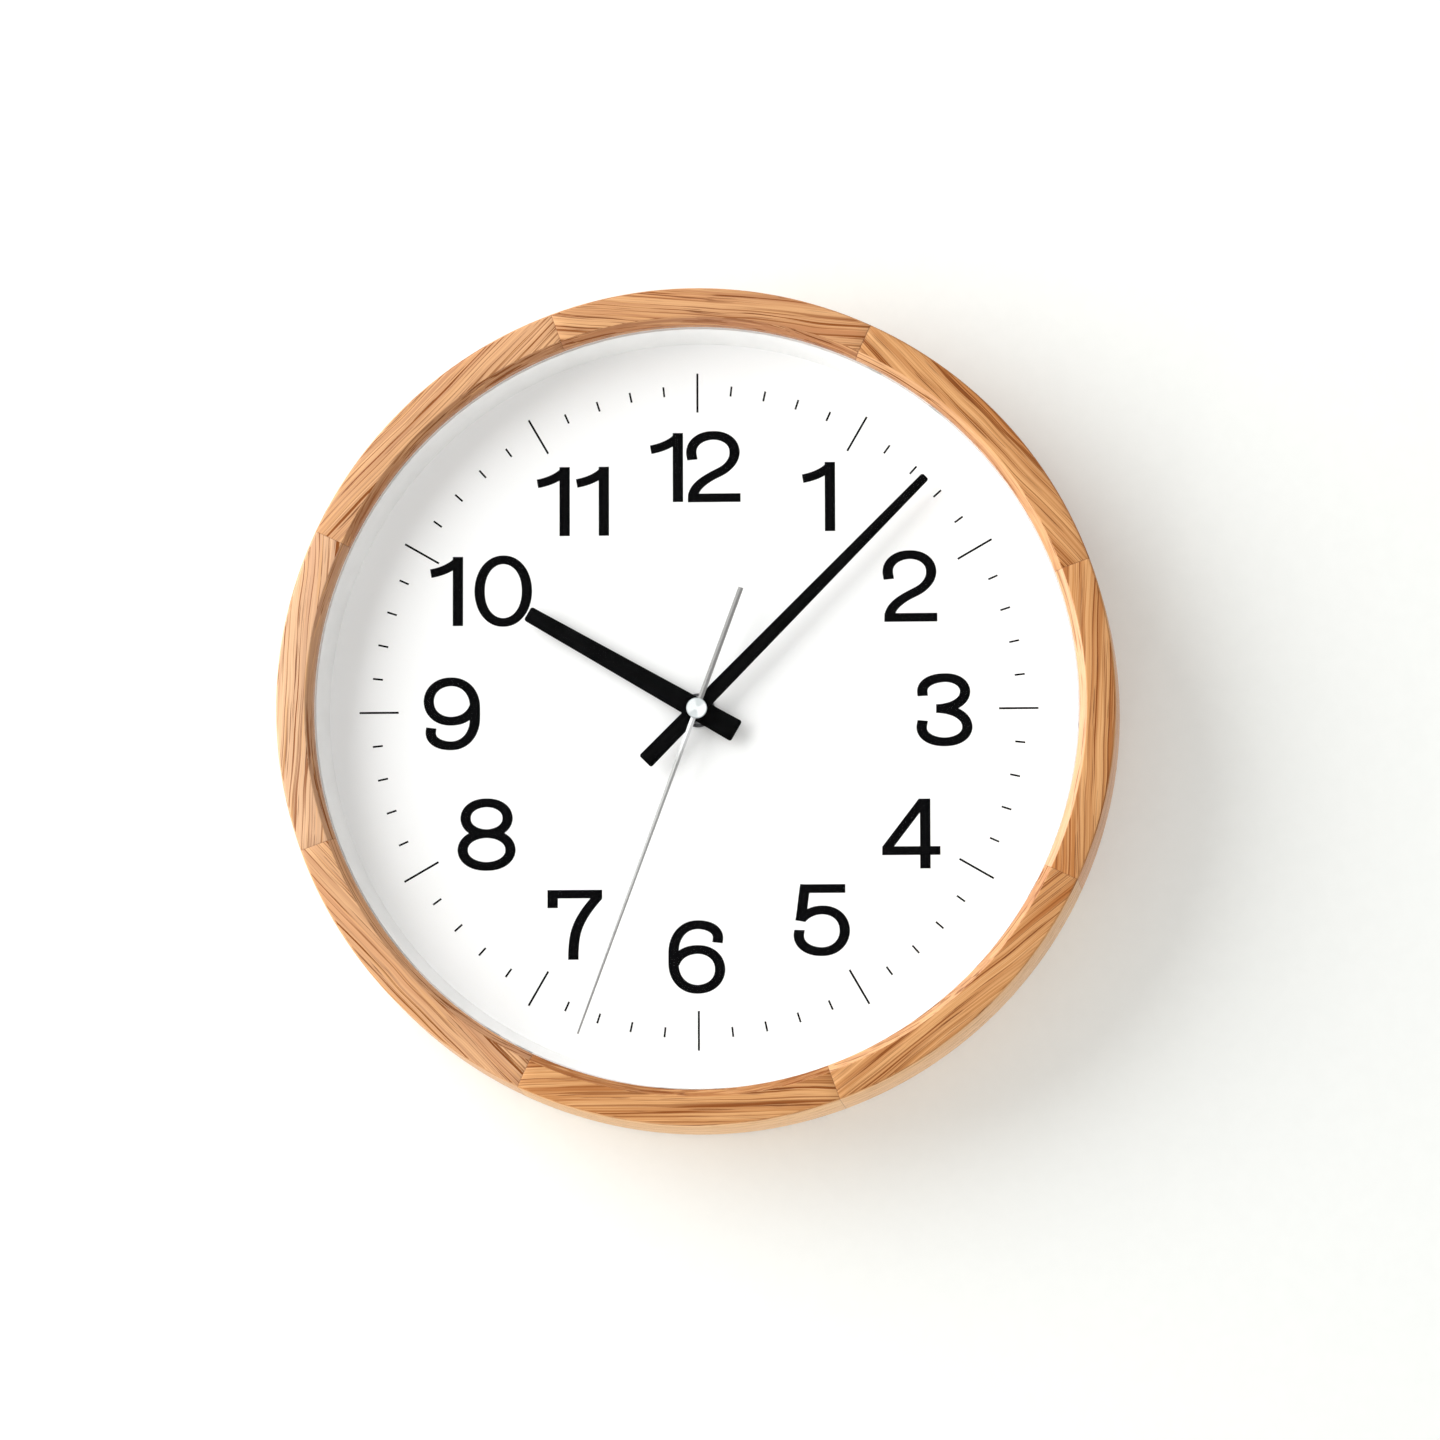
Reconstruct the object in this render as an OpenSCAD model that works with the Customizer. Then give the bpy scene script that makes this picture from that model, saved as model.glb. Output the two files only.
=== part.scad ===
// Round wall clock: a ring of eight mitred oak staves round a white dial behind glass, driven by a
// battery quartz movement. All sizes are in millimetres.
// The clock is drawn lying on the wall plane: z = 0 is the wall, z grows towards the viewer, y points to
// twelve o'clock and the hands turn about z. place() then stands it up with the hanging point as origin.

/* [Wooden ring] */
// Diameter of the opening that shows the dial
opening_d = 278.2; // [240:1:360]
// Radial depth of the rebate cut behind the opening
lip_w = 4.1; // [3:0.1:6]
// Thickness of the ring wall behind the rebate, measured at the wall
ring_wall = 10.8; // [9:0.1:18]
// How much the outside leans in from the wall to the front, on the radius
side_lean = 1.7; // [0:0.1:5]
// Depth of the ring, wall to front face
ring_depth = 48; // [47.5:0.5:70]
// Depth of the lip in front of the glass
lip_depth = 8; // [5:0.5:8.5]
// Width of the bevel round the opening
bevel_w = 2.7; // [0.5:0.1:4]
// Depth of the bevel round the opening
bevel_h = 3; // [0.5:0.1:4]
// Number of staves in the ring
stave_count = 8; // [8:1:8]
// Clock angle of the first joint, clockwise from twelve
joint_angle = 25; // [10:1:35]
// Size of the broken edge on the outer corners
arris = 0.4; // [0.2:0.1:1]

/* [Dial] */
// Thickness of the front glass
glass_t = 2; // [1.6:0.2:3]
// Distance from the dial to the glass
reflector_h = 13.5; // [13:0.5:20]
// How far the white reflector ring leans in from the glass to the dial
reflector_lean = 3.6; // [0:0.1:8]
// Wall thickness of the reflector ring
reflector_t = 1.4; // [0.8:0.1:2]
// Thickness of the printed dial sheet
dial_t = 0.5; // [0.3:0.1:1]
// Thickness of the fibreboard behind the dial
board_t = 4; // [3:0.5:4]
// Play of the discs inside the ring, on the radius
disc_play = 0.3; // [0.1:0.1:0.8]
// Length of a retaining point
point_l = 15; // [12:1:20]
// Width of a retaining point
point_w = 8; // [5:0.5:10]
// Thickness of a retaining point
point_t = 0.8; // [0.5:0.1:1.2]
// How deep a retaining point is driven into the ring
point_bite = 4.5; // [3:0.5:6]

/* [Hanger] */
// Distance from the hanging hole up to the inside of the ring
hole_below_ring = 21.2; // [21:0.1:31]
// Radius of the hole that the head of the wall screw passes
key_r = 5; // [4.5:0.1:5.5]
// Width of the slot that carries the shank of the wall screw
key_slot_w = 5; // [4.4:0.1:5.4]
// Travel from the hole to the top of the slot
key_travel = 9; // [7:0.5:10]
// Thickness of the steel keyhole plate
key_plate_t = 1.4; // [1:0.1:2]
// Width of the keyhole plate
key_plate_w = 54; // [48:1:60]
// Height of the keyhole plate
key_plate_h = 24; // [22:1:26]
// Width of the wooden hanger block
block_w = 62; // [62:1:80]
// How far the hanger block reaches below the keyhole plate
block_margin = 4; // [2:0.5:8]
// Depth of the pocket behind the plate, for the screw head
pocket_depth = 11; // [8:1:14]
// Radius of the shank of a hanger screw
screw_r = 1.5; // [1.2:0.1:2]
// Radius of the head of a hanger screw
screw_head_r = 3; // [2.6:0.1:3.4]
// Length of a hanger screw
screw_l = 14; // [10:1:16]

/* [Movement case] */
// Depth of the movement case
case_depth = 16; // [16:0.1:17]
// Radius of the corners of the case
case_corner_r = 5; // [3:0.5:7]
// Thickness of the side walls of the case
case_wall = 1.5; // [1:0.1:1.6]
// Thickness of the wall under the battery bay
bay_low_t = 0.9; // [0.8:0.1:1.5]
// Clearance between the centre wheel and the wall of the battery bay
wheel_gap = 0.52; // [0.3:0.01:1]
// Clearance between the intermediate wheel and the coil
coil_gap = 0.8; // [0.5:0.05:1.5]
// Clearance between the coil and the wall above it
coil_room = 1.1; // [0.8:0.1:2]
// Thickness of the back cover
cover_t = 1.6; // [1.4:0.1:2]
// Radius of the threaded bush that clamps the dial
bush_r = 4; // [3.8:0.1:4.4]
// How far the bush stands in front of the dial
bush_reach = 3.1; // [3.1:0.1:3.4]
// Thickness of the rubber washer behind the board
rubber_t = 1; // [0.5:0.1:1.2]
// Thickness of the brass washer on the dial
washer_t = 0.6; // [0.4:0.1:1]
// Radius of the brass washer
washer_r = 6.2; // [5.8:0.1:8]
// Width across the flats of the nut
nut_af = 10; // [9.5:0.5:11]
// Height of the nut
nut_h = 2.1; // [1.5:0.1:2.4]
// Radius of the battery cell
cell_r = 7.25; // [7.25:0.05:7.25]
// Length of the battery cell, with its positive button
cell_l = 50.5; // [50.5:0.1:50.5]
// Free length of the contact spring beside the battery cell
spring_room = 1.8; // [1.6:0.1:3]
// Width of the finger notch beside the battery cell
notch_w = 18; // [14:1:24]
// Radius of the setting knob
knob_r = 6; // [4.5:0.1:6.5]
// Height of the setting knob
knob_h = 1.9; // [1.5:0.1:2.2]

/* [Gear train] */
// Pressure angle of all teeth
pressure = 26; // [24:1:28]
// Play cut from each tooth at its pitch circle
tooth_play = 0.03; // [0.02:0.005:0.05]
// Height of a pinion
pinion_h = 1.7; // [1.5:0.05:1.75]
// Thickness of a wheel
wheel_t = 0.9; // [0.6:0.1:1.2]
// Free height between two layers of the train
layer_gap = 0.2; // [0.1:0.05:0.2]
// Distance between the shaft and the third arbor
third_dist = 11.5; // [11:0.1:11.5]
// Distance between the shaft and the intermediate arbor
inter_dist = 11.5; // [11:0.1:11.8]
// Distance between the intermediate arbor and the rotor
rotor_dist = 8.4; // [8:0.1:8.8]
// Distance between the shaft and the minute wheel arbor
minute_dist = 12; // [11.8:0.1:12.2]
// Radial clearance of everything that turns in or on something else
run = 0.07; // [0.02:0.01:0.1]
// Radius of the steel second arbor
arbor_r = 0.6; // [0.5:0.05:0.65]
// Outer radius of the minute pipe
minute_pipe_r = 1.75; // [1.6:0.05:1.8]
// Outer radius of the hour pipe
hour_pipe_r = 2.6; // [2.5:0.05:2.7]

/* [Hands] */
// Length of the hour hand from the shaft to its tip
hour_l = 71.6; // [50:0.1:90]
// Length of the tail of the hour hand
hour_tail = 16.4; // [8:0.1:25]
// Width of the hour hand at its tip
hour_tip_w = 5.7; // [3:0.1:7]
// Width of the hour hand at its tail
hour_tail_w = 8.5; // [7.6:0.1:12]
// Length of the minute hand from the shaft to its tip
minute_l = 119; // [80:0.5:122]
// Length of the tail of the minute hand
minute_tail = 27; // [10:0.5:40]
// Width of the minute hand at its tip
minute_tip_w = 3.3; // [2:0.1:5]
// Width of the minute hand at its tail
minute_tail_w = 6.2; // [5.8:0.1:9]
// Length of the second hand from the shaft to its tip
second_l = 126; // [90:0.5:130]
// Length of the tail of the second hand
second_tail = 47; // [20:0.5:60]
// Width of the second hand at its tip
second_tip_w = 0.6; // [0.4:0.1:1.2]
// Width of the second hand at its hub and tail
second_hub_w = 1.7; // [1.4:0.1:2.5]
// Thickness of the hour and minute hands
hand_t = 0.5; // [0.4:0.1:0.7]
// Thickness of the second hand
second_t = 0.4; // [0.3:0.1:0.5]
// Rounding of the corners of the hour and minute hands
hand_round = 0.9; // [0.2:0.1:1.2]
// Radius of the cap on the second hand
cap_r = 3.9; // [3:0.1:5]
// Height of the cap
cap_h = 0.9; // [0.6:0.1:1.4]
// Clock angle of the hour hand
hour_angle = 299.9; // [0:0.1:360]
// Clock angle of the minute hand
minute_angle = 44.7; // [0:0.1:360]
// Clock angle of the second hand
second_angle = 200.2; // [0:0.1:360]

/* [Hidden] */
$fn = 72;

// radii of the ring
opening_r = opening_d / 2;
rebate_r = opening_r + lip_w;
back_r = rebate_r + ring_wall;
front_r = back_r - side_lean;
disc_r = rebate_r - disc_play;
hang_drop = rebate_r - hole_below_ring;
stave_step = 360 / stave_count;

// heights of the layers, from the wall to the front
glass_front_z = ring_depth - lip_depth;
glass_z = glass_front_z - glass_t;
dial_z = glass_z - reflector_h;
board_front_z = dial_z - dial_t;
board_z = board_front_z - board_t;
case_front_z = board_z - rubber_t;
case_z = case_front_z - case_depth;
cover_in_z = case_z + cover_t;
bush_z = dial_z + bush_reach;

// layers of the gear train, counted from the back cover
end_play = 0.3;
layer_step = pinion_h + layer_gap;
plate_gap = 0.2;
middle_t = 0.8;
middle_z = cover_in_z + end_play + 4 * layer_step - layer_gap + plate_gap;
case_in_z = layer_z(5) + pinion_h + plate_gap;
knob_top_z = case_z + 0.15;
knob_shaft_r = 1.2;
pivot_r = 0.35;
pivot_l = 0.8;

// tooth counts
rotor_teeth = 8;
inter_teeth = 48;
inter_pinion_teeth = 12;
second_teeth = 60;
second_pinion_teeth = 8;
third_teeth = 60;
third_pinion_teeth = 8;
centre_teeth = 64;
cannon_teeth = 12;
minute_teeth = 36;
minute_pinion_teeth = 10;
hour_teeth = 40;

// addendum and dedendum, in modules: wheels are cut shorter so that they clear the small pinions
wheel_top = 0.8;
pinion_top = 1;
wheel_root = 1.25;
pinion_root = 1.15;

// modules that make each pair fit its centre distance
rotor_m = 2 * rotor_dist / (rotor_teeth + inter_teeth);
inter_m = 2 * inter_dist / (inter_pinion_teeth + second_teeth);
second_m = 2 * third_dist / (second_pinion_teeth + third_teeth);
third_m = 2 * third_dist / (third_pinion_teeth + centre_teeth);
cannon_m = 2 * minute_dist / (cannon_teeth + minute_teeth);
hour_m = 2 * minute_dist / (minute_pinion_teeth + hour_teeth);

// directions from one arbor to the next, counter-clockwise from three o'clock
third_dir = 150;
inter_dir = 60;
rotor_dir = 10;
minute_dir = 0;
third_at = third_dist * [cos(third_dir), sin(third_dir)];
inter_at = inter_dist * [cos(inter_dir), sin(inter_dir)];
rotor_at = inter_at + rotor_dist * [cos(rotor_dir), sin(rotor_dir)];
minute_at = minute_dist * [cos(minute_dir), sin(minute_dir)];

// inside of the case: the cell sets its width, and the train, the cell and the coil set its height
bay_wall_t = 1.1;
cell_play = 0.25;
cell_end_play = 0.1;
contact_t = 0.3;
contact_w = 5;
cavity_half_w = (cell_l + cell_end_play + spring_room) / 2 + contact_t;
case_w = 2 * (cavity_half_w + case_wall);
centre_tip_r = third_m * (centre_teeth / 2 + wheel_top);
inter_tip_r = rotor_m * (inter_teeth / 2 + wheel_top);
cavity_low_y = -centre_tip_r - wheel_gap;
bay_top_y = cavity_low_y - bay_wall_t;
bay_low_y = bay_top_y - 2 * (cell_r + cell_play);
case_low_y = bay_low_y - bay_low_t;
cell_drop = -(bay_top_y + bay_low_y) / 2;
cell_z = case_z + 0.6 + cell_r;

// coil and stator
magnet_r = 2.6;
magnet_h = 3.2;
stator_t = 0.9;
stator_z = layer_z(2);
coil_half_l = 9.5;
coil_mid_x = 9;
coil_r = 3.6;
coil_y = inter_at[1] + inter_tip_r + coil_gap + coil_r;
cavity_high_y = coil_y + coil_r + coil_room;
case_high_y = cavity_high_y + case_wall;
core_h = 2.4;
core_reach = 4.6;

// heights of the hands
collet_lip = 0.5;
hour_hand_z = bush_z + 1.3;
hour_pipe_z = hour_hand_z + hand_t + 0.4;
minute_hand_z = hour_pipe_z + 1.7;
minute_pipe_z = minute_hand_z + hand_t + 0.4;
second_hand_z = minute_pipe_z + 1.1;
cap_z = second_hand_z + second_t;

// height of a gear layer, where the fifth and sixth lie in front of the middle plate
function layer_z(k) = k < 4
    ? cover_in_z + end_play + k * layer_step
    : middle_z + middle_t + plate_gap + (k - 4) * layer_step;
function on_circle(r, a) = [r * cos(a), r * sin(a)];
function hex_r(af) = af / 2 / cos(30);

// Involute of a pressure angle, in degrees
function inv(a) = tan(a) * 180 / PI - a;
// Half the angle that a tooth covers at radius r
function half_tooth(m, n, r) =
    let (base = m * n / 2 * cos(pressure), play = tooth_play / (m * n) * 180 / PI)
    90 / n - play + inv(pressure) - inv(acos(min(1, base / max(r, base))));
// Radii of the points along one flank
function flank(m, n, top, root, steps = 3) =
    let (r = m * n / 2, low = r - root * m, foot = max(low, r * cos(pressure)), tip = r + top * m)
    concat(low < foot ? [low] : [], [for (i = [0:steps]) foot + (tip - foot) * i / steps]);
// Outline of a gear with a tooth centred on the angle phase
function gear_points(m, n, top, root, phase) =
    let (radii = flank(m, n, top, root), last = len(radii) - 1)
    [for (k = [0:n - 1], s = [0:2 * last + 1])
        let (r = radii[s <= last ? s : 2 * last + 1 - s], side = s <= last ? -1 : 1)
        on_circle(r, phase + k * 360 / n + side * half_tooth(m, n, r))];
// Phase of gear b that meshes with gear a, where b lies in the direction dir from a
function mesh_phase(dir, phase_a, n_a, n_b) =
    dir + 180 - 360 / n_b * (0.5 - (dir - phase_a) * n_a / 360);

inter_phase = mesh_phase(rotor_dir + 180, 0, rotor_teeth, inter_teeth);
second_phase = mesh_phase(inter_dir + 180, 0, inter_pinion_teeth, second_teeth);
third_phase = mesh_phase(third_dir, 0, second_pinion_teeth, third_teeth);
centre_phase = mesh_phase(third_dir + 180, 0, third_pinion_teeth, centre_teeth);
minute_phase = mesh_phase(minute_dir, 0, cannon_teeth, minute_teeth);
hour_phase = mesh_phase(minute_dir + 180, 0, minute_pinion_teeth, hour_teeth);

// Stands the clock up: the wall is y = 0, the dial faces -Y and the hanging hole is the origin
module place()
    translate([0, 0, -hang_drop])
        rotate([90, 0, 0])
            children();

module at(p, z)
    translate([p[0], p[1], z])
        children();

module disc(r, h, z = 0)
    translate([0, 0, z])
        cylinder(r = r, h = h);

module tube(r, inner, h, z = 0)
    translate([0, 0, z])
        difference() {
            cylinder(r = r, h = h);
            translate([0, 0, -1])
                cylinder(r = inner, h = h + 2);
        }

// Rectangle with round corners, centred
module rounded(w, h, r) {
    square([w - 2 * r, h], center = true);
    square([w, h - 2 * r], center = true);
    for (x = [-1, 1], y = [-1, 1])
        translate([x * (w / 2 - r), y * (h / 2 - r)])
            circle(r = r);
}

module wheel(m, n, h, phase)
    linear_extrude(height = h)
        polygon(gear_points(m, n, wheel_top, wheel_root, phase));

module pinion(m, n, h, phase = 0)
    linear_extrude(height = h)
        polygon(gear_points(m, n, pinion_top, pinion_root, phase));

// Section of the wooden ring: wall, rebate for the glass, lip, bevel and leaning outside
module ring_section()
    polygon([
        [rebate_r, 0],
        [back_r - arris, 0],
        [back_r, arris],
        [front_r, ring_depth - arris],
        [front_r - arris, ring_depth],
        [opening_r + bevel_w, ring_depth],
        [opening_r, ring_depth - bevel_h],
        [opening_r, glass_front_z],
        [rebate_r, glass_front_z]
    ]);

// One retaining point, driven through the inside of the ring along x
module point_blade(play)
    translate([0, 0, -point_t - play])
        linear_extrude(height = point_t + 2 * play)
            polygon([
                [rebate_r + point_bite - point_l, -point_w / 2 - play],
                [rebate_r + point_bite - 2, -point_w / 2 - play],
                [rebate_r + point_bite + play, -point_w / 4 - play],
                [rebate_r + point_bite + play, point_w / 4 + play],
                [rebate_r + point_bite - 2, point_w / 2 + play],
                [rebate_r + point_bite - point_l, point_w / 2 + play]
            ]);

// Staves run clockwise from the one at the top, with the mitre joints on the radius. The top one takes no
// retaining point, because the hanger block holds the board there.
module frame_stave(i)
    color("burlywood")
        place()
            difference() {
                rotate([0, 0, 90 - joint_angle - (i - 1) * stave_step])
                    rotate_extrude(angle = stave_step)
                        ring_section();
                if (i > 1)
                    rotate([0, 0, 90 - joint_angle - (i - 1.5) * stave_step])
                        translate([0, 0, board_z])
                            point_blade(0.02);
            }

module front_glass()
    color("lightblue", 0.3)
        place()
            disc(disc_r, glass_t, glass_z);

// White ring between the glass and the dial: a flange in the rebate and a leaning wall
module reflector_ring()
    color("white")
        place()
            rotate_extrude()
                polygon([
                    [opening_r - 0.5, glass_z],
                    [disc_r, glass_z],
                    [disc_r, glass_z - reflector_t],
                    [opening_r - 0.5 + reflector_t, glass_z - reflector_t],
                    [opening_r - 0.5 - reflector_lean + reflector_t, dial_z],
                    [opening_r - 0.5 - reflector_lean, dial_z]
                ]);

module dial_sheet()
    color("white")
        place()
            tube(disc_r, bush_r + run, dial_t, board_front_z);

module dial_board()
    color("peru")
        place()
            tube(disc_r, bush_r + run, board_t, board_z);

module retaining_points()
    color("silver")
        place()
            for (i = [2:stave_count])
                rotate([0, 0, 90 - joint_angle - (i - 1.5) * stave_step])
                    translate([0, 0, board_z])
                        point_blade(0);

// Keyhole: a round hole with a slot towards twelve o'clock
module keyhole(r, slot_w, h) {
    cylinder(r = r, h = h);
    translate([-slot_w / 2, 0, 0])
        cube([slot_w, key_travel, h]);
    translate([0, key_travel, 0])
        cylinder(r = slot_w / 2, h = h);
}

key_screw_x = key_plate_w / 2 - 6;
key_plate_y = hang_drop + 2;
block_low_y = key_plate_y - key_plate_h / 2 - block_margin;

module hanger_block()
    color("tan")
        place()
            difference() {
                intersection() {
                    translate([-block_w / 2, block_low_y, key_plate_t])
                        cube([block_w, rebate_r, board_z - key_plate_t]);
                    cylinder(r = rebate_r, h = board_z);
                }
                translate([0, hang_drop, key_plate_t - 1])
                    keyhole(key_r + 2, 2 * key_r + 4, pocket_depth + 1);
                for (x = [-1, 1])
                    at([x * key_screw_x, key_plate_y], key_plate_t - 1)
                        cylinder(r = screw_r, h = screw_l - key_plate_t + 1.5);
            }

module keyhole_plate()
    color("silver")
        place()
            difference() {
                at([0, key_plate_y], 0)
                    linear_extrude(height = key_plate_t)
                        rounded(key_plate_w, key_plate_h, 4);
                translate([0, hang_drop, -1])
                    keyhole(key_r, key_slot_w, key_plate_t + 2);
                for (x = [-1, 1])
                    at([x * key_screw_x, key_plate_y], 0) {
                        cylinder(r1 = screw_head_r, r2 = screw_r, h = key_plate_t);
                        translate([0, 0, -1])
                            cylinder(r = screw_r, h = key_plate_t + 2);
                    }
            }

module hanger_screws()
    color("silver")
        place()
            for (x = [-1, 1])
                at([x * key_screw_x, key_plate_y], 0)
                    difference() {
                        union() {
                            cylinder(r1 = screw_head_r, r2 = screw_r, h = key_plate_t);
                            cylinder(r = screw_r, h = screw_l - 3);
                            translate([0, 0, screw_l - 3])
                                cylinder(r1 = screw_r, r2 = 0.2, h = 3);
                        }
                        for (a = [0, 90])
                            rotate([0, 0, a])
                                cube([3.2, 0.7, 1.6], center = true);
                    }

module rubber_washer()
    color("dimgray")
        place()
            tube(bush_r + 6, bush_r + run, rubber_t, case_front_z);

module brass_washer()
    color("gold")
        place()
            tube(washer_r, bush_r + run, washer_t, dial_z);

module hex_nut()
    color("silver")
        place()
            at([0, 0], dial_z + washer_t)
                difference() {
                    intersection() {
                        cylinder(r = hex_r(nut_af), h = nut_h, $fn = 6);
                        cylinder(r1 = hex_r(nut_af) + 1.6, r2 = nut_af / 2 - 0.1, h = nut_h + 0.6);
                    }
                    translate([0, 0, -1])
                        cylinder(r = bush_r, h = nut_h + 2);
                }

// Posts of the case base that carry the middle plate
post_r = 1.7;
post_pin_r = 0.8;
post_at = [
    [4.5 - cavity_half_w, cavity_low_y + 3],
    [cavity_half_w - 2.6, cavity_low_y + 3],
    [4.5 - cavity_half_w, coil_y - 5.5],
    [cavity_half_w - 2.6, coil_y - 5.5]
];

// Shell that faces the dial: mechanism cavity and battery bay, both open to the back, and the bush
module case_base()
    color("#222222")
        place()
            difference() {
                union() {
                    difference() {
                        at([0, (case_low_y + case_high_y) / 2], cover_in_z)
                            linear_extrude(height = case_front_z - cover_in_z)
                                rounded(case_w, case_high_y - case_low_y, case_corner_r);
                        at([0, (cavity_low_y + cavity_high_y) / 2], cover_in_z - 1)
                            linear_extrude(height = case_in_z - cover_in_z + 1)
                                rounded(2 * cavity_half_w, cavity_high_y - cavity_low_y, 3);
                    }
                    disc(bush_r, bush_z - case_in_z, case_in_z);
                    for (p = post_at)
                        at(p, middle_z + middle_t)
                            cylinder(r = post_r, h = case_front_z - middle_z - middle_t);
                    for (p = post_at)
                        at(p, middle_z)
                            cylinder(r = post_pin_r, h = case_front_z - middle_z);
                }
                at([0, 0], case_in_z - 1)
                    cylinder(r = hour_pipe_r + run, h = bush_z - case_in_z + 2);
                // battery bay
                translate([-cavity_half_w, bay_low_y, cover_in_z - 1])
                    cube([2 * cavity_half_w, bay_top_y - bay_low_y, cell_z + cell_r - cover_in_z + 1.2]);
                // finger notch through the wall under the bay
                translate([-notch_w / 2, case_low_y - 1, cover_in_z - 1])
                    cube([notch_w, bay_low_t + 2, cell_z - cover_in_z + 1]);
                // notches through the bay wall for the two contact strips
                for (x = [-1, 1])
                    translate([x * (cavity_half_w - contact_t) - 0.5, bay_top_y - 1, cover_in_z - 1])
                        cube([1, bay_wall_t + 4.6, contact_w + 3]);
                at(minute_at, case_in_z - 1)
                    cylinder(r = pivot_r + run, h = pivot_l + 1.2);
            }

module case_cover()
    color("#2a2a2a")
        place()
            difference() {
                union() {
                    at([0, (bay_top_y + case_high_y) / 2], case_z)
                        linear_extrude(height = cover_t)
                            rounded(case_w, case_high_y - bay_top_y, case_corner_r);
                    // lip that centres the cover in the cavity
                    at([0, (cavity_low_y + cavity_high_y) / 2], cover_in_z)
                        linear_extrude(height = 0.9)
                            difference() {
                                rounded(2 * cavity_half_w - 1.8, cavity_high_y - cavity_low_y - 0.2, 2.9);
                                rounded(2 * cavity_half_w - 3.4, cavity_high_y - cavity_low_y - 1.8, 2.1);
                            }
                }
                for (p = [[0, 0], third_at, inter_at, rotor_at])
                    at(p, cover_in_z - pivot_l - 0.2)
                        cylinder(r = pivot_r + run, h = 3);
                at(minute_at, case_z - 1)
                    cylinder(r = knob_shaft_r + run, h = cover_t + 2);
                // shallow ring that the knob sits in
                at(minute_at, case_z - 1)
                    cylinder(r = knob_r + 0.6, h = 1.4);
            }

module middle_plate()
    color("whitesmoke")
        place()
            difference() {
                translate([0, 0, middle_z])
                    linear_extrude(height = middle_t)
                        hull()
                            for (p = post_at)
                                translate(p)
                                    circle(r = 2.3, $fn = 32);
                translate([0, 0, middle_z - 1])
                    cylinder(r = minute_pipe_r + run, h = middle_t + 2);
                for (p = [third_at, inter_at, rotor_at])
                    at(p, middle_z - 1)
                        cylinder(r = pivot_r + run, h = middle_t + 2);
                for (p = post_at)
                    at(p, middle_z - 1)
                        cylinder(r = post_pin_r, h = middle_t + 2);
                at(minute_at, middle_z - 1)
                    cylinder(r = 1.5, h = middle_t + 2);
            }

// Flat iron stator: two legs from the rotor hole up to the ends of the coil core
stator_left_x = coil_mid_x - coil_half_l - core_reach / 2;
stator_right_x = coil_mid_x + coil_half_l + core_reach / 2;

module stator_leg(x, side)
    linear_extrude(height = stator_t)
        polygon([
            [x + side * 2.2, coil_y + 2.2],
            [x + side * 2.2, coil_y - 5.9],
            rotor_at + [side * 4.5, -1.6],
            rotor_at + [-side, -1.6],
            rotor_at + [-side, 4],
            [x - side * 2.2, coil_y - coil_r - 0.6],
            [x - side * 2.2, coil_y + 2.2]
        ]);

module stator()
    color("slategray")
        place()
            translate([0, 0, stator_z])
                difference() {
                    union() {
                        at(rotor_at, 0)
                            cylinder(r = magnet_r + 2.6, h = stator_t);
                        stator_leg(stator_left_x, -1);
                        stator_leg(stator_right_x, 1);
                    }
                    at(rotor_at, -1)
                        cylinder(r = magnet_r + 0.4, h = stator_t + 2);
                    for (x = [stator_left_x, stator_right_x])
                        at([x, coil_y], -1)
                            cylinder(r = 0.8, h = stator_t + 2);
                }

module coil_core()
    color("slategray")
        place()
            difference() {
                translate([coil_mid_x - coil_half_l - core_reach, coil_y - core_h / 2, stator_z + stator_t])
                    cube([2 * (coil_half_l + core_reach), core_h, 0.9]);
                for (x = [stator_left_x, stator_right_x])
                    at([x, coil_y], stator_z)
                        cylinder(r = 0.8, h = 3);
            }

coil_z = stator_z + stator_t + 0.45;

module along_x(l)
    translate([coil_mid_x - l / 2, coil_y, coil_z])
        rotate([0, 90, 0])
            cylinder(r = coil_r, h = l);

module coil_bobbin()
    color("ivory")
        place()
            difference() {
                union() {
                    for (x = [-1, 1])
                        translate([x * (coil_half_l - 0.5), 0, 0])
                            along_x(1);
                    translate([coil_mid_x, coil_y, coil_z])
                        cube([2 * coil_half_l, core_h + 1.2, 2.1], center = true);
                }
                translate([coil_mid_x, coil_y, coil_z])
                    cube([2 * coil_half_l + 2, core_h, 0.9], center = true);
            }

module coil_winding()
    color("chocolate")
        place()
            difference() {
                translate([coil_mid_x - coil_half_l + 1, coil_y, coil_z])
                    rotate([0, 90, 0])
                        cylinder(r = coil_r - 0.4, h = 2 * coil_half_l - 2);
                translate([coil_mid_x, coil_y, coil_z])
                    cube([2 * coil_half_l, core_h + 1.2, 2.1], center = true);
            }

module coil_screws()
    color("silver")
        place()
            for (x = [stator_left_x, stator_right_x])
                at([x, coil_y], stator_z) {
                    cylinder(r = 0.8, h = stator_t + 0.9);
                    translate([0, 0, stator_t + 0.9])
                        cylinder(r = 1.5, h = 0.8);
                }

// Long narrow board inside the top of the case, under the coil
pcb_t = 0.8;
pcb_lift = 1;
pcb_z = cover_in_z + pcb_lift;
pcb_side_gap = 2.5;
pcb_top_gap = 1.4;
pcb_w = 2 * (cavity_half_w - pcb_side_gap);
pcb_h = 6.6;
pcb_y = cavity_high_y - pcb_top_gap - pcb_h / 2;
// the crystal keeps its distance from the coil screw, and the chip from the crystal
crystal_l = 5.6;
crystal_r = 1;
crystal_x = stator_left_x - 2.1 - crystal_l;
chip_x = crystal_x - 4.5;

module circuit_board()
    color("darkgreen")
        place()
            at([0, pcb_y], pcb_z)
                linear_extrude(height = pcb_t)
                    square([pcb_w, pcb_h], center = true);

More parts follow.
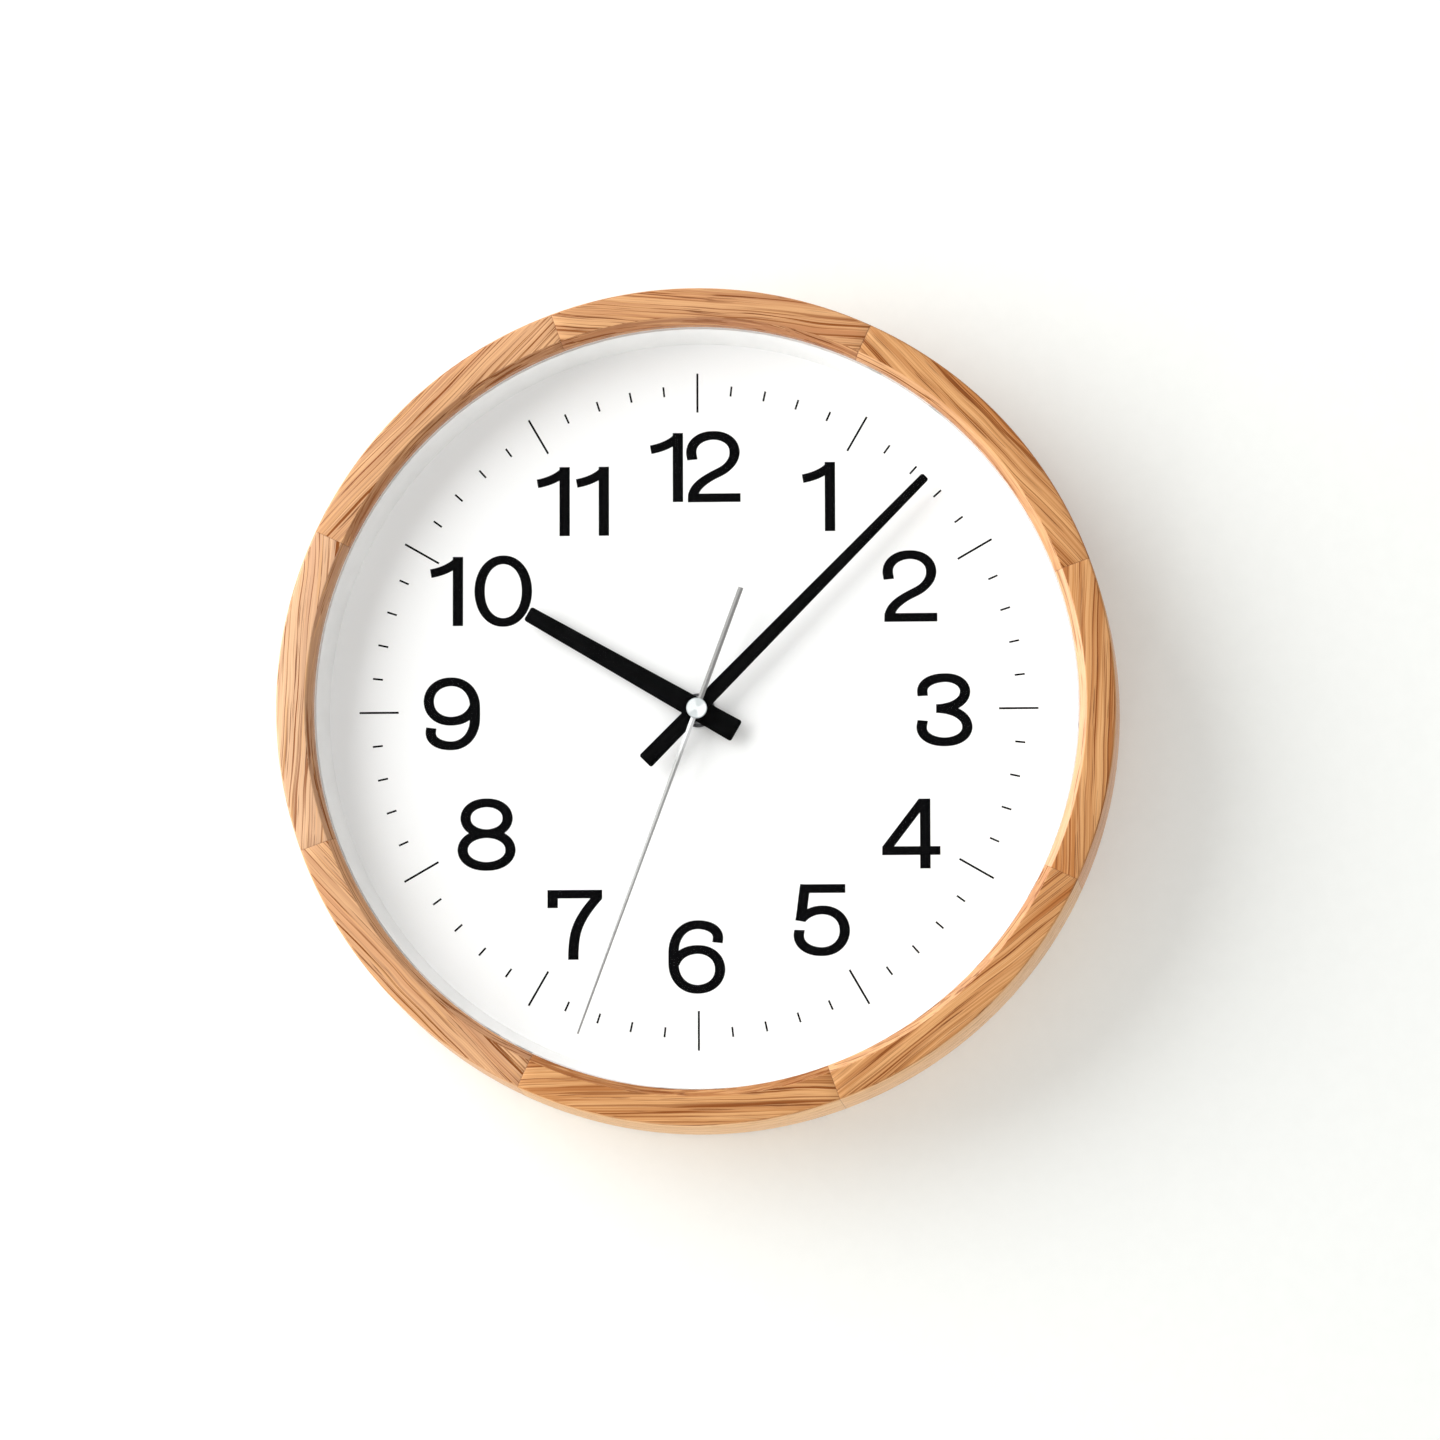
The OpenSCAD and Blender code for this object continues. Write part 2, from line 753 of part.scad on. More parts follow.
module control_chip()
    color("#111111")
        place()
            at([chip_x, pcb_y], pcb_z + pcb_t)
                difference() {
                    translate([0, 0, -2.6])
                        sphere(r = 3.8);
                    translate([-5, -5, -10])
                        cube([10, 10, 10]);
                }

module quartz_crystal()
    color("silver")
        place()
            translate([crystal_x, pcb_y, pcb_z + pcb_t + crystal_r])
                rotate([0, 90, 0]) {
                    cylinder(r = crystal_r, h = crystal_l);
                    translate([0, 0, -0.4])
                        cylinder(r = 0.8, h = 0.4);
                }

// Contact strips run up the side walls from the bay to the circuit board
contact_x = cavity_half_w - contact_t;
contact_top_gap = 3.2;
contact_top_y = cavity_high_y - contact_top_gap;
contact_foot = 3;
tongue_l = 3;
tongue_w = 3;
tongue_drop = 4;
spring_half = 5.2;

module contact_strip(side) {
    x = side > 0 ? contact_x : -contact_x - contact_t;
    tongue_x = pcb_w / 2 - tongue_l;
    translate([x, bay_top_y - cell_r - contact_foot, pcb_z])
        cube([contact_t, contact_top_y - bay_top_y + cell_r + contact_foot, contact_w]);
    // tongue bent over the end of the circuit board, one with the strip at its root
    translate([side > 0 ? tongue_x : -contact_x - contact_t / 2, contact_top_y - tongue_drop, pcb_z + pcb_t])
        cube([contact_x + contact_t / 2 - tongue_x, tongue_w, contact_t]);
}

module contact_positive()
    color("gold")
        place()
            contact_strip(1);

// The negative strip ends in a folded leaf spring that pushes on the can
module contact_negative()
    color("silver")
        place() {
            contact_strip(-1);
            translate([0, 0, cell_z - contact_w / 2])
                linear_extrude(height = contact_w)
                    polygon([
                        [spring_root_x, 2 * contact_t - spring_half - cell_drop],
                        [cell_end_x - cell_end_play - contact_t, -cell_drop],
                        [spring_root_x, spring_half - 2 * contact_t - cell_drop],
                        [spring_root_x, spring_half - cell_drop],
                        [cell_end_x - cell_end_play, -cell_drop],
                        [spring_root_x, -spring_half - cell_drop]
                    ]);
        }

spring_root_x = -contact_x - contact_t / 2;
cell_end_x = contact_x - cell_end_play - cell_l;

module rotor_magnet()
    color("#555555")
        place()
            at(rotor_at, stator_z + stator_t / 2 - magnet_h / 2)
                tube(magnet_r, 0.7, magnet_h);

module rotor_pinion()
    color("ivory")
        place()
            at(rotor_at, 0) {
                translate([0, 0, layer_z(0)])
                    pinion(rotor_m, rotor_teeth, pinion_h);
                disc(0.7, middle_z - 0.1 - layer_z(0), layer_z(0));
                disc(pivot_r, middle_z + middle_t - 0.1 - cover_in_z + pivot_l, cover_in_z - pivot_l);
            }

// A wheel on one layer and its pinion on the next, moulded as one piece on a pivoted arbor
module compound(m_wheel, n_wheel, phase, m_pinion, n_pinion, layer) {
    translate([0, 0, layer_z(layer) + (pinion_h - wheel_t) / 2])
        wheel(m_wheel, n_wheel, wheel_t, phase);
    disc(1, layer_step, layer_z(layer));
    translate([0, 0, layer_z(layer + 1)])
        pinion(m_pinion, n_pinion, pinion_h);
}

module pivots(z0, z1, r = 0.6) {
    disc(r, z1 - z0 - 0.2, z0 + 0.1);
    disc(pivot_r, z1 - z0 + 2 * pivot_l - 0.2, z0 - pivot_l + 0.1);
}

module intermediate_wheel()
    color("ivory")
        place()
            at(inter_at, 0) {
                compound(rotor_m, inter_teeth, inter_phase, inter_m, inter_pinion_teeth, 0);
                pivots(cover_in_z, middle_z);
            }

module third_wheel()
    color("ivory")
        place()
            at(third_at, 0) {
                compound(second_m, third_teeth, third_phase, third_m, third_pinion_teeth, 2);
                pivots(cover_in_z, middle_z);
            }

module second_wheel()
    color("ivory")
        place()
            difference() {
                compound(inter_m, second_teeth, second_phase, second_m, second_pinion_teeth, 1);
                cylinder(r = arbor_r, h = ring_depth);
            }

module second_arbor()
    color("silver")
        place() {
            disc(arbor_r, cap_z - 0.1 - cover_in_z - 0.1, cover_in_z + 0.1);
            disc(pivot_r, pivot_l + 0.4, cover_in_z - pivot_l);
        }

module centre_wheel()
    color("ivory")
        place()
            difference() {
                union() {
                    translate([0, 0, layer_z(3) + (pinion_h - wheel_t) / 2])
                        wheel(third_m, centre_teeth, wheel_t, centre_phase);
                    disc(minute_pipe_r + 1, pinion_h, layer_z(3));
                }
                cylinder(r = minute_pipe_r, h = ring_depth);
            }

module minute_pipe()
    color("silver")
        place()
            difference() {
                union() {
                    disc(minute_pipe_r, minute_pipe_z - layer_z(3), layer_z(3));
                    translate([0, 0, layer_z(4)])
                        pinion(cannon_m, cannon_teeth, pinion_h);
                }
                cylinder(r = arbor_r + run, h = ring_depth);
            }

module minute_wheel()
    color("ivory")
        place()
            at(minute_at, 0) {
                compound(cannon_m, minute_teeth, minute_phase, hour_m, minute_pinion_teeth, 4);
                disc(knob_shaft_r, case_in_z - 0.2 - knob_top_z, knob_top_z);
                disc(pivot_r, pivot_l + 1, case_in_z - 1);
            }

module setting_knob()
    color("#333333")
        place()
            at(minute_at, knob_top_z - knob_h)
                difference() {
                    cylinder(r = knob_r, h = knob_h);
                    for (a = [0:15:345])
                        rotate([0, 0, a])
                            translate([knob_r + 0.35, 0, -1])
                                cylinder(r = 0.7, h = knob_h + 2);
                    // finger bar across the middle
                    for (y = [-1, 1])
                        intersection() {
                            translate([-knob_r, y > 0 ? 1 : -knob_r - 1, -1])
                                cube([2 * knob_r, knob_r, 1 + knob_h / 2]);
                            translate([0, 0, -1])
                                cylinder(r = knob_r - 1.3, h = knob_h);
                        }
                }

module hour_wheel()
    color("ivory")
        place()
            difference() {
                union() {
                    translate([0, 0, layer_z(5) + (pinion_h - wheel_t) / 2])
                        wheel(hour_m, hour_teeth, wheel_t, hour_phase);
                    disc(hour_pipe_r, hour_pipe_z - layer_z(5), layer_z(5));
                }
                cylinder(r = minute_pipe_r + run, h = ring_depth);
            }

// Tapered hand with round corners, pointing to twelve before it is turned to its clock angle
module bar_hand(l, tail, tip_w, tail_w, hole, angle, z)
    rotate([0, 0, -angle])
        difference() {
            translate([0, 0, z])
                linear_extrude(height = hand_t)
                    hull() {
                        for (s = [-1, 1])
                            translate([s * (tip_w / 2 - hand_round), l - hand_round])
                                circle(r = hand_round, $fn = 24);
                        for (s = [-1, 1])
                            translate([s * (tail_w / 2 - hand_round), hand_round - tail])
                                circle(r = hand_round, $fn = 24);
                    }
            translate([0, 0, z - 1])
                cylinder(r = hole, h = hand_t + 2);
        }

module hour_hand()
    color("#151515")
        place()
            bar_hand(hour_l, hour_tail, hour_tip_w, hour_tail_w, hour_pipe_r + collet_lip, hour_angle,
                     hour_hand_z);

module hour_collet()
    color("gold")
        place() {
            tube(hour_pipe_r + collet_lip, hour_pipe_r, hand_t + 0.9, hour_hand_z - 0.7);
            tube(hour_pipe_r + 1, hour_pipe_r + collet_lip, 0.4, hour_hand_z - 0.4);
        }

module minute_hand()
    color("#151515")
        place()
            bar_hand(minute_l, minute_tail, minute_tip_w, minute_tail_w, minute_pipe_r + collet_lip,
                     minute_angle, minute_hand_z);

module minute_collet()
    color("gold")
        place() {
            tube(minute_pipe_r + collet_lip, minute_pipe_r, hand_t + 0.9, minute_hand_z - 0.7);
            tube(minute_pipe_r + 1, minute_pipe_r + collet_lip, 0.4, minute_hand_z - 0.4);
        }

module second_hand()
    color("silver")
        place()
            rotate([0, 0, -second_angle])
                difference() {
                    translate([0, 0, second_hand_z])
                        linear_extrude(height = second_t) {
                            polygon([
                                [-second_hub_w / 2, -second_tail],
                                [second_hub_w / 2, -second_tail],
                                [second_hub_w / 2, 0],
                                [second_tip_w / 2, second_l],
                                [-second_tip_w / 2, second_l],
                                [-second_hub_w / 2, 0]
                            ]);
                            circle(r = cap_r - 1);
                        }
                    cylinder(r = arbor_r, h = ring_depth);
                }

module second_tube()
    color("silver")
        place()
            tube(arbor_r + 0.5, arbor_r, second_hand_z - minute_pipe_z - 0.3, minute_pipe_z + 0.3);

module second_cap()
    color("gainsboro")
        place()
            translate([0, 0, cap_z])
                rotate_extrude()
                    polygon([
                        [0, 0],
                        [cap_r, 0],
                        [cap_r, cap_h * 0.45],
                        [cap_r - 0.35, cap_h * 0.8],
                        [cap_r - 0.9, cap_h * 0.95],
                        [0, cap_h]
                    ]);

// Cell with its positive button on the right
module battery_cell()
    color("dimgray")
        place()
            translate([cell_end_x, -cell_drop, cell_z])
                rotate([0, 90, 0])
                    rotate_extrude()
                        polygon([
                            [0, 0],
                            [cell_r - 0.5, 0],
                            [cell_r, 0.5],
                            [cell_r, cell_l - 2],
                            [cell_r - 0.6, cell_l - 1.4],
                            [2.8, cell_l - 1.4],
                            [2.5, cell_l - 0.2],
                            [2.3, cell_l],
                            [0, cell_l]
                        ]);

for (i = [1:stave_count])
    frame_stave(i);
front_glass();
reflector_ring();
dial_sheet();
dial_board();
retaining_points();
hanger_block();
keyhole_plate();
hanger_screws();
rubber_washer();
brass_washer();
hex_nut();
case_base();
case_cover();
middle_plate();
stator();
coil_core();
coil_bobbin();
coil_winding();
coil_screws();
circuit_board();
control_chip();
quartz_crystal();
contact_positive();
contact_negative();
rotor_magnet();
rotor_pinion();
intermediate_wheel();
third_wheel();
second_wheel();
second_arbor();
centre_wheel();
minute_pipe();
minute_wheel();
setting_knob();
hour_wheel();
hour_hand();
hour_collet();
minute_hand();
minute_collet();
second_hand();
second_tube();
second_cap();
battery_cell();
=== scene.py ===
# Looks of a round oak wall clock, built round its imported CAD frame.
import math
import random

import bmesh
import bpy
from mathutils import Matrix, Quaternion, Vector


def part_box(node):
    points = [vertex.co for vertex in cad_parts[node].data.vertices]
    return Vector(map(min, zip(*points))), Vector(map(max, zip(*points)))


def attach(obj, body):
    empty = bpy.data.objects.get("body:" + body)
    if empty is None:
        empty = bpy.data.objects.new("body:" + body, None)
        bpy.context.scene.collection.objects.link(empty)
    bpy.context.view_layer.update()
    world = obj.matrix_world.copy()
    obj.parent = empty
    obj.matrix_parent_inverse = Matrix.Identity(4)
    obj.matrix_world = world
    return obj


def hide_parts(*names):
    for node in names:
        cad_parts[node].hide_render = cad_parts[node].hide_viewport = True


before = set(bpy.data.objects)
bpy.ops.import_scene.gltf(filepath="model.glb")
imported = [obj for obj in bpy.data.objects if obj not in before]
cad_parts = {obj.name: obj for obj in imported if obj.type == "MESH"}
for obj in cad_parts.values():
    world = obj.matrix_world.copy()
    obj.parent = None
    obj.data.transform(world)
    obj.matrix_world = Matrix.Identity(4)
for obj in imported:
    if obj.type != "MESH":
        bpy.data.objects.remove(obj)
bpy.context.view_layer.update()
random.seed(7)
mm = 0.001
weld = 0.0005  # points nearer to each other than this, in millimetres, become one

# where the shaft of the hands meets the wall: radii are counted from it in millimetres, and heights from the wall
dialLow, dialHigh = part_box("dial_sheet")
centre = Vector(((dialLow.x + dialHigh.x) / 2, 0, (dialLow.z + dialHigh.z) / 2))
# a piece is drawn lying on the wall in millimetres, with twelve o'clock along +Y, and then stood up
standUp = Matrix.Translation(centre) @ Matrix.Rotation(math.radians(90), 4, "X") @ Matrix.Scale(mm, 4)


def heightsOf(node):
    # back and front of a node
    low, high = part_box(node)
    return -high.y / mm, -low.y / mm


def radiusOf(node):
    low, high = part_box(node)
    return (high.x - low.x) / 2 / mm


def clockAngleOf(node):
    # direction of the end that reaches furthest from the shaft, clockwise from twelve
    far = [vertex.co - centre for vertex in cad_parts[node].data.vertices]
    reach = max(Vector((point.x, point.z)).length for point in far)
    tipBand = 1.2 * mm
    tips = [point for point in far if Vector((point.x, point.z)).length > reach - tipBand]
    middle = sum(tips, Vector()) / len(tips)
    return math.degrees(math.atan2(middle.x, middle.z))


# shader maths
class Wire:
    # an output socket of a shader node, which can be used in sums
    def __init__(self, tree, socket=None):
        self.tree = tree
        self.socket = socket

    def node(self, kind, settings, values, output=0):
        made = self.tree.nodes.new("ShaderNode" + kind)
        for key, value in settings.items():
            setattr(made, key, value)
        for key, value in values.items():
            if isinstance(value, Wire):
                self.tree.links.new(value.socket, made.inputs[key])
            else:
                made.inputs[key].default_value = value
        return Wire(self.tree, made.outputs[output] if made.outputs else None)

    def sums(self, operation, *others):
        # one Math node on this value and the others
        return self.node("Math", {"operation": operation}, dict(enumerate((self, *others))))

    def __add__(self, other):
        return self.sums("ADD", other)

    def __sub__(self, other):
        return self.sums("SUBTRACT", other)

    def __rsub__(self, other):
        return self.node("Math", {"operation": "SUBTRACT"}, {0: other, 1: self})

    def __mul__(self, other):
        return self.sums("MULTIPLY", other)

    __radd__ = __add__
    __rmul__ = __mul__

    def fade(self, low, high):
        # smooth step from 0 at low to 1 at high
        return self.node("MapRange", {"interpolation_type": "SMOOTHSTEP"}, {0: self, 1: low, 2: high})

    def swing(self):
        # up to 1 and down to 0 once for every full turn of this angle
        return self.sums("SINE") * 0.5 + 0.5

    def blend(self, first, second):
        # this value mixes two colours
        return self.node("Mix", {"data_type": "RGBA"}, {0: self, 6: first, 7: second}, 2)

    def part(self, axis):
        return self.node("SeparateXYZ", {}, {0: self}, axis)

    def length(self):
        return self.node("VectorMath", {"operation": "LENGTH"}, {0: self}, "Value")

    def stretch(self, x, y, z):
        return self.node("VectorMath", {"operation": "MULTIPLY"}, {0: self, 1: (x, y, z)})

    def about(self, middle, clockAngle=0.0):
        # places counted from a middle point, in axes turned by a clock angle
        return self.node(
            "Mapping",
            {"vector_type": "TEXTURE"},
            {"Vector": self, "Location": middle, "Rotation": (0, math.radians(clockAngle), 0)},
        )

    def cloud(self, scale, detail=3.0, roughness=0.55):
        return self.node("TexNoise", {}, {"Vector": self, "Scale": scale, "Detail": detail, "Roughness": roughness})


def tone(red, green, blue):
    # a screen colour, 0 to 255, as the linear colour that the shaders want
    shares = [value / 255 for value in (red, green, blue)]
    linear = [share / 12.92 if share < 0.04045 else ((share + 0.055) / 1.055) ** 2.4 for share in shares]
    return (*linear, 1.0)


def darker(colour, share):
    return (*[value * (1 - share) for value in colour[:3]], 1.0)


def openFinish(name):
    material = bpy.data.materials.new(name)
    material.use_nodes = True
    material.node_tree.nodes.clear()
    return material, Wire(material.node_tree).node("TexCoord", {}, {}, "Object")


def closeFinish(material, place, tint, roughness, bump, others=()):
    # bump holds the height, the strength and the depth of the relief
    height, strength, depth = bump
    relief = place.node("Bump", {}, {"Strength": strength, "Distance": depth, "Height": height})
    values = {"Base Color": tint, "Roughness": roughness, "Normal": relief, **dict(others)}
    place.node("OutputMaterial", {}, {"Surface": place.node("BsdfPrincipled", {}, values)})
    return material


def dress(material, *nodes):
    # gives a finish to CAD nodes that keep their own shape
    for name in nodes:
        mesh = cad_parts[name].data
        mesh.materials.clear()
        mesh.materials.append(material)


# making a drawn shape into a piece
def addObject(name, data):
    added = bpy.data.objects.new(name, data)
    bpy.context.scene.collection.objects.link(added)
    return added


def finishPiece(name, bm, material, body, replaced=(), sharp=32, turn=0.0):
    # stands the drawn shape up, turned clockwise by a clock angle, and makes it a piece on its body
    bmesh.ops.remove_doubles(bm, verts=bm.verts, dist=weld)
    bmesh.ops.recalc_face_normals(bm, faces=bm.faces)
    bmesh.ops.transform(bm, matrix=standUp @ Matrix.Rotation(math.radians(-turn), 4, "Z"), verts=bm.verts)
    for face in bm.faces:
        face.smooth = True
    for edge in bm.edges:
        edge.smooth = len(edge.link_faces) == 2 and edge.calc_face_angle(0) < math.radians(sharp)
    mesh = bpy.data.meshes.new(name)
    bm.to_mesh(mesh)
    bm.free()
    mesh.materials.append(material)
    piece = addObject(name, mesh)
    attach(piece, body)
    if replaced:
        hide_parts(*replaced)
    return piece


def outline(bm, points):
    # closed flat face through a few points
    return bm.faces.new([bm.verts.new((x, y, 0)) for x, y in points])


def soften(bm, geom, size, segments=2, affect="EDGES"):
    bmesh.ops.bevel(bm, geom=geom, offset=size, segments=segments, profile=0.5, affect=affect, material=-1)


def vertsIn(geom):
    return [item for item in geom if isinstance(item, bmesh.types.BMVert)]


# the ring: its section, which stands on the radius, and its joints
staveLow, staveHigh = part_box("frame_stave_3")
ring = {
    "count": 8,
    "firstJoint": 25,  # clockwise from twelve
    "depth": -staveLow.y / mm,
    "back": (staveHigh.x - centre.x) / mm,  # radius at the wall
    "lean": 1.7,  # how much smaller the radius is in front
    "rebate": 143.2,  # radius of the step that holds the glass
    "opening": 139.1,  # radius of the lip that covers its edge
    "glassFront": heightsOf("front_glass")[1],
    "bevelWidth": 2.7,
    "bevelHeight": 3.0,
    "arris": 0.55,  # roundings of the back edge, the front edge, the bevel and the mitred ends
    "shoulder": 0.9,
    "lip": 0.3,
    "chamfer": 0.06,
    "uneven": 0.1,  # how far back the face of a stave may be sanded
    "still": 5.0,  # height up to which it stays as it is
    "steps": 26,
}
print("ring", {key: round(value, 3) for key, value in ring.items()})

# oak: tones, and per board, from the first joint clockwise, the painted light and shade that it gets
oak = {
    "pale": tone(224, 169, 113),
    "body": tone(188, 124, 65),
    "deep": tone(168, 101, 45),
    # colour of the dark grain threads, and of the painted shade on the bevel
    "streakAndShade": tone(134, 70, 10),
    "red": tone(190, 114, 50),
    "pore": tone(112, 58, 16),
    "glue": tone(112, 68, 36),
    # colour of the painted haze, and of the painted highlight on the bevel
    "paintedLightTone": tone(248, 216, 185),
    # colour of the painted light on the outside
    "side": tone(242, 204, 148),
    "paintedHaze": (0.12, 0.0, 0.0, 0.0, 0.0, 0.22, 0.40, 0.20),  # painted haze of the key light from the left, strongest on the boards at the left
    "paintedSideLight": (0.15, 0.0, 0.1, 0.45, 0.5, 0.25, 0.15, 0.15),  # painted light on the outside, most of it at the bottom
    "paintedBevelLight": (0.0, 0.15, 0.32, 0.15, 0.0, 0.0, 0.0, 0.0),  # painted highlight on the bevel of the boards at the right, which face the key light
    "paintedBevelShade": (0.38, 0.0, 0.0, 0.0, 0.5, 0.25, 0.44, 0.5),  # painted shade on the bevel at the top, left and bottom
    "lean": 5.0,  # degrees that the grain may run off the line of its board
    "tip": 0.4,  # degrees that it may dip into it
    "apart": (0.731, 0.417, 0.293),  # metres in the wood from one board to the next
    "wander": 4.5 * mm,  # how far the fibres stray from a straight line
    "yearRing": 5.0 * mm,  # from one year ring to the next
    "ringDrift": 12 * mm,
    "ringTilt": 0.5,  # slope of the year rings through the board, in radians
    # values of a layer between which its marks come in
    "earlyFade": (0.25, 0.95),
    "patchFade": (0.38, 0.62),
    "streakFade": (0.52, 0.58),
    "threadFade": (0.565, 0.60),
    "poreFade": (0.62, 0.67),
    "hairFade": (0.4, 0.6),
    "redFade": (0.56, 0.66),
    "fleckFade": (0.60, 0.66),
    # radii between which the outside and the bevel begin, and distances from a joint between which its glue does
    "outerFade": (151.9, 152.4),
    "innerFade": (142.0, 141.4),
    "glueFade": (0.25, 0.05),
}
# layers of the grain: repeats in a metre along the board, into it and across it, detail and roughness
grainLayers = {
    "drift": ((5, 22, 22), 2.0, 0.55),
    "broad": ((7, 160, 130), 2.0, 0.55),
    "wide": ((5, 420, 520), 3.0, 0.6),
    "fibre": ((7, 900, 1350), 2.0, 0.5),
    "hair": ((12, 2000, 2900), 2.0, 0.6),
    "vessel": ((45, 1600, 2300), 1.0, 0.5),
    "fleck": ((22, 900, 1300), 1.0, 0.55),
}


def oakFinish(number, clockAngle):
    material, place = openFinish("oakStave%d" % number)
    stave = place.about(centre, clockAngle)
    flat = stave.stretch(1, 0, 1)
    radius = flat.length()
    # grain straight along the stave on its face, and round the clock on the sides of the ring
    turned = stave.part(0).sums("ARCTAN2", stave.part(2)) * (ring["back"] * mm)
    curved = stave.node("CombineXYZ", {}, {0: turned, 1: stave.part(1), 2: radius})
    facing = place.node("TexCoord", {}, {}, "Normal").part(1).sums("ABSOLUTE")
    lean = math.radians(random.uniform(-oak["lean"], oak["lean"]))
    tip = math.radians(random.uniform(-oak["tip"], oak["tip"]))
    board = stave.node(
        "Mapping",
        {"vector_type": "POINT"},
        {
            "Vector": facing.fade(0.75, 0.9).blend(curved, stave),
            "Location": [number * step for step in oak["apart"]],
            "Rotation": (0, lean, tip),
        },
    )
    # the fibres wander a little across the board, and the year rings more slowly
    bend = (board.stretch(17, 30, 34).cloud(1.0, 2.0) - 0.5) * oak["wander"]
    board = board.node("VectorMath", {"operation": "ADD"}, {0: board, 1: board.node("CombineXYZ", {}, {2: bend})})
    layers = {name: board.stretch(*every).cloud(1.0, *kind) for name, (every, *kind) in grainLayers.items()}
    across = board.part(2) * math.cos(oak["ringTilt"]) + board.part(1) * math.sin(oak["ringTilt"])
    across = across + layers["drift"] * oak["ringDrift"]
    early = (across * (2 * math.pi / oak["yearRing"])).swing().fade(*oak["earlyFade"])
    patch = layers["broad"].fade(*oak["patchFade"])
    streaks = layers["wide"].fade(*oak["streakFade"])
    threads = layers["fibre"].fade(*oak["threadFade"])
    pores = layers["vessel"].fade(*oak["poreFade"]) * (early * 0.7 + 0.3)
    # the outside is painted paler than the face, as painted light, more so on some boards, and its grain is fainter
    reach = radius * (1 / mm)
    outer = reach.fade(*oak["outerFade"])
    inner = reach.fade(*oak["innerFade"])
    sharp = 1 - outer * 0.6
    # a dark line of glue where the joints meet
    half = math.pi / ring["count"]
    fromJoint = stave.part(2) * math.sin(half) - stave.part(0).sums("ABSOLUTE") * math.cos(half)
    glue = (fromJoint * (1 / mm)).fade(*oak["glueFade"])
    paintedSideLight, paintedBevelLight, paintedBevelShade, paintedHaze = (oak[key][number - 1] for key in ("paintedSideLight", "paintedBevelLight", "paintedBevelShade", "paintedHaze"))
    tint = (patch * 0.4 + layers["hair"].fade(*oak["hairFade"]) * 0.6).blend(oak["pale"], oak["body"])
    # laid on in turn: grain, then painted light and shade (haze on the left boards, highlight and shade on the bevel,
    # light on the outside), then fibres, flecks, pores and glue
    for share, colour in (
        (early * 0.35, "deep"),
        (streaks * (patch * 0.5 + 0.35), "deep"),
        (layers["broad"].fade(*oak["redFade"]) * 0.45, "red"),
        (inner * paintedBevelLight + paintedHaze, "paintedLightTone"),
        (outer * paintedSideLight, "side"),
        (inner * paintedBevelShade, "streakAndShade"),
        (threads * sharp * (early * 0.36 + 0.66), "streakAndShade"),
        (layers["fleck"].fade(*oak["fleckFade"]) * 0.5, "pale"),
        (pores * sharp * 0.8, "pore"),
        (glue * 0.3, "glue"),
    ):
        tint = share.blend(tint, oak[colour])
    relief = layers["fibre"] * 0.5 + layers["hair"] * 0.4 - threads * 0.5 - pores * 1.2 - glue * 0.5
    roughness = pores * 0.25 + layers["hair"] * 0.12 + 0.42
    return closeFinish(material, place, tint, roughness, (relief, 0.4, 0.18 * mm), {"Specular IOR Level": 0.3})


def makeStave(number):
    step = 360 / ring["count"]
    middle = ring["firstJoint"] + (number - 1.5) * step
    bm = bmesh.new()
    # section of the ring, standing on the radius towards twelve: radius, height and rounding of its corners
    corners = [
        (ring["rebate"], 0, 0),
        (ring["back"], 0, ring["arris"]),
        (ring["back"] - ring["lean"], ring["depth"], ring["shoulder"]),
        (ring["opening"] + ring["bevelWidth"], ring["depth"], ring["lip"]),
        (ring["opening"], ring["depth"] - ring["bevelHeight"], ring["lip"]),
        (ring["opening"], ring["glassFront"], 0),
        (ring["rebate"], ring["glassFront"], 0),
    ]
    outline(bm, [(radius, height) for radius, height, rounding in corners])
    for vertex, (radius, height, rounding) in zip(bm.verts[:], corners):
        if rounding:
            soften(bm, [vertex], rounding, 4, "VERTICES")
    bmesh.ops.transform(bm, matrix=Matrix.Rotation(math.radians(90), 4, "X"), verts=bm.verts)
    bmesh.ops.transform(bm, matrix=Matrix.Rotation(math.radians(90 - middle - step / 2), 4, "Z"), verts=bm.verts)
    bmesh.ops.spin(
        bm, geom=bm.faces[:] + bm.edges[:] + bm.verts[:], cent=(0, 0, 0), axis=(0, 0, 1),
        angle=math.radians(step), steps=ring["steps"], use_merge=False, use_duplicate=False,
    )
    bmesh.ops.recalc_face_normals(bm, faces=bm.faces)
    # break the edges of the two mitred ends, which are the only faces with many corners
    ends = {face for face in bm.faces if len(face.verts) > 4}
    rims = [edge for edge in bm.edges if len(edge.link_faces) == 2 and not ends.isdisjoint(edge.link_faces)]
    soften(bm, rims, ring["chamfer"])
    # the first stave keeps the full depth
    sanded = random.uniform(-ring["uneven"], 0.0)
    if number > 1:
        front = [vertex for vertex in bm.verts if vertex.co.z > ring["still"]]
        bmesh.ops.translate(bm, vec=(0, 0, sanded), verts=front)
    node = "frame_stave_%d" % number
    return finishPiece("oakStave%d" % number, bm, oakFinish(number, middle), "clock", [node], 28)


staves = [makeStave(number) for number in range(1, ring["count"] + 1)]
print("staves:", len(staves), "faces each:", len(staves[0].data.polygons))


def glassFinish():
    material, place = openFinish("clearGlass")
    smear = place.cloud(18, 4.0, 0.6)
    clear = place.node("BsdfTransparent", {}, {"Color": (0.998, 1.0, 0.999, 1)})
    gloss = place.node(
        "BsdfPrincipled",
        {},
        {"Base Color": (0.9, 0.93, 0.92, 1), "Metallic": 1.0, "Roughness": smear.fade(0.45, 0.8) * 0.05 + 0.02},
    )
    outside = 1 - place.node("NewGeometry", {}, {}, "Backfacing")
    edge = place.node("Fresnel", {}, {"IOR": 1.3}) * outside
    both = place.node("MixShader", {}, {0: edge * 0.1, 1: clear, 2: gloss})
    place.node("OutputMaterial", {}, {"Surface": both})
    return material


reflector = {"rimFade": (-0.5, 0.3)}  # millimetres beyond the opening of the ring between which its rim has a painted glow
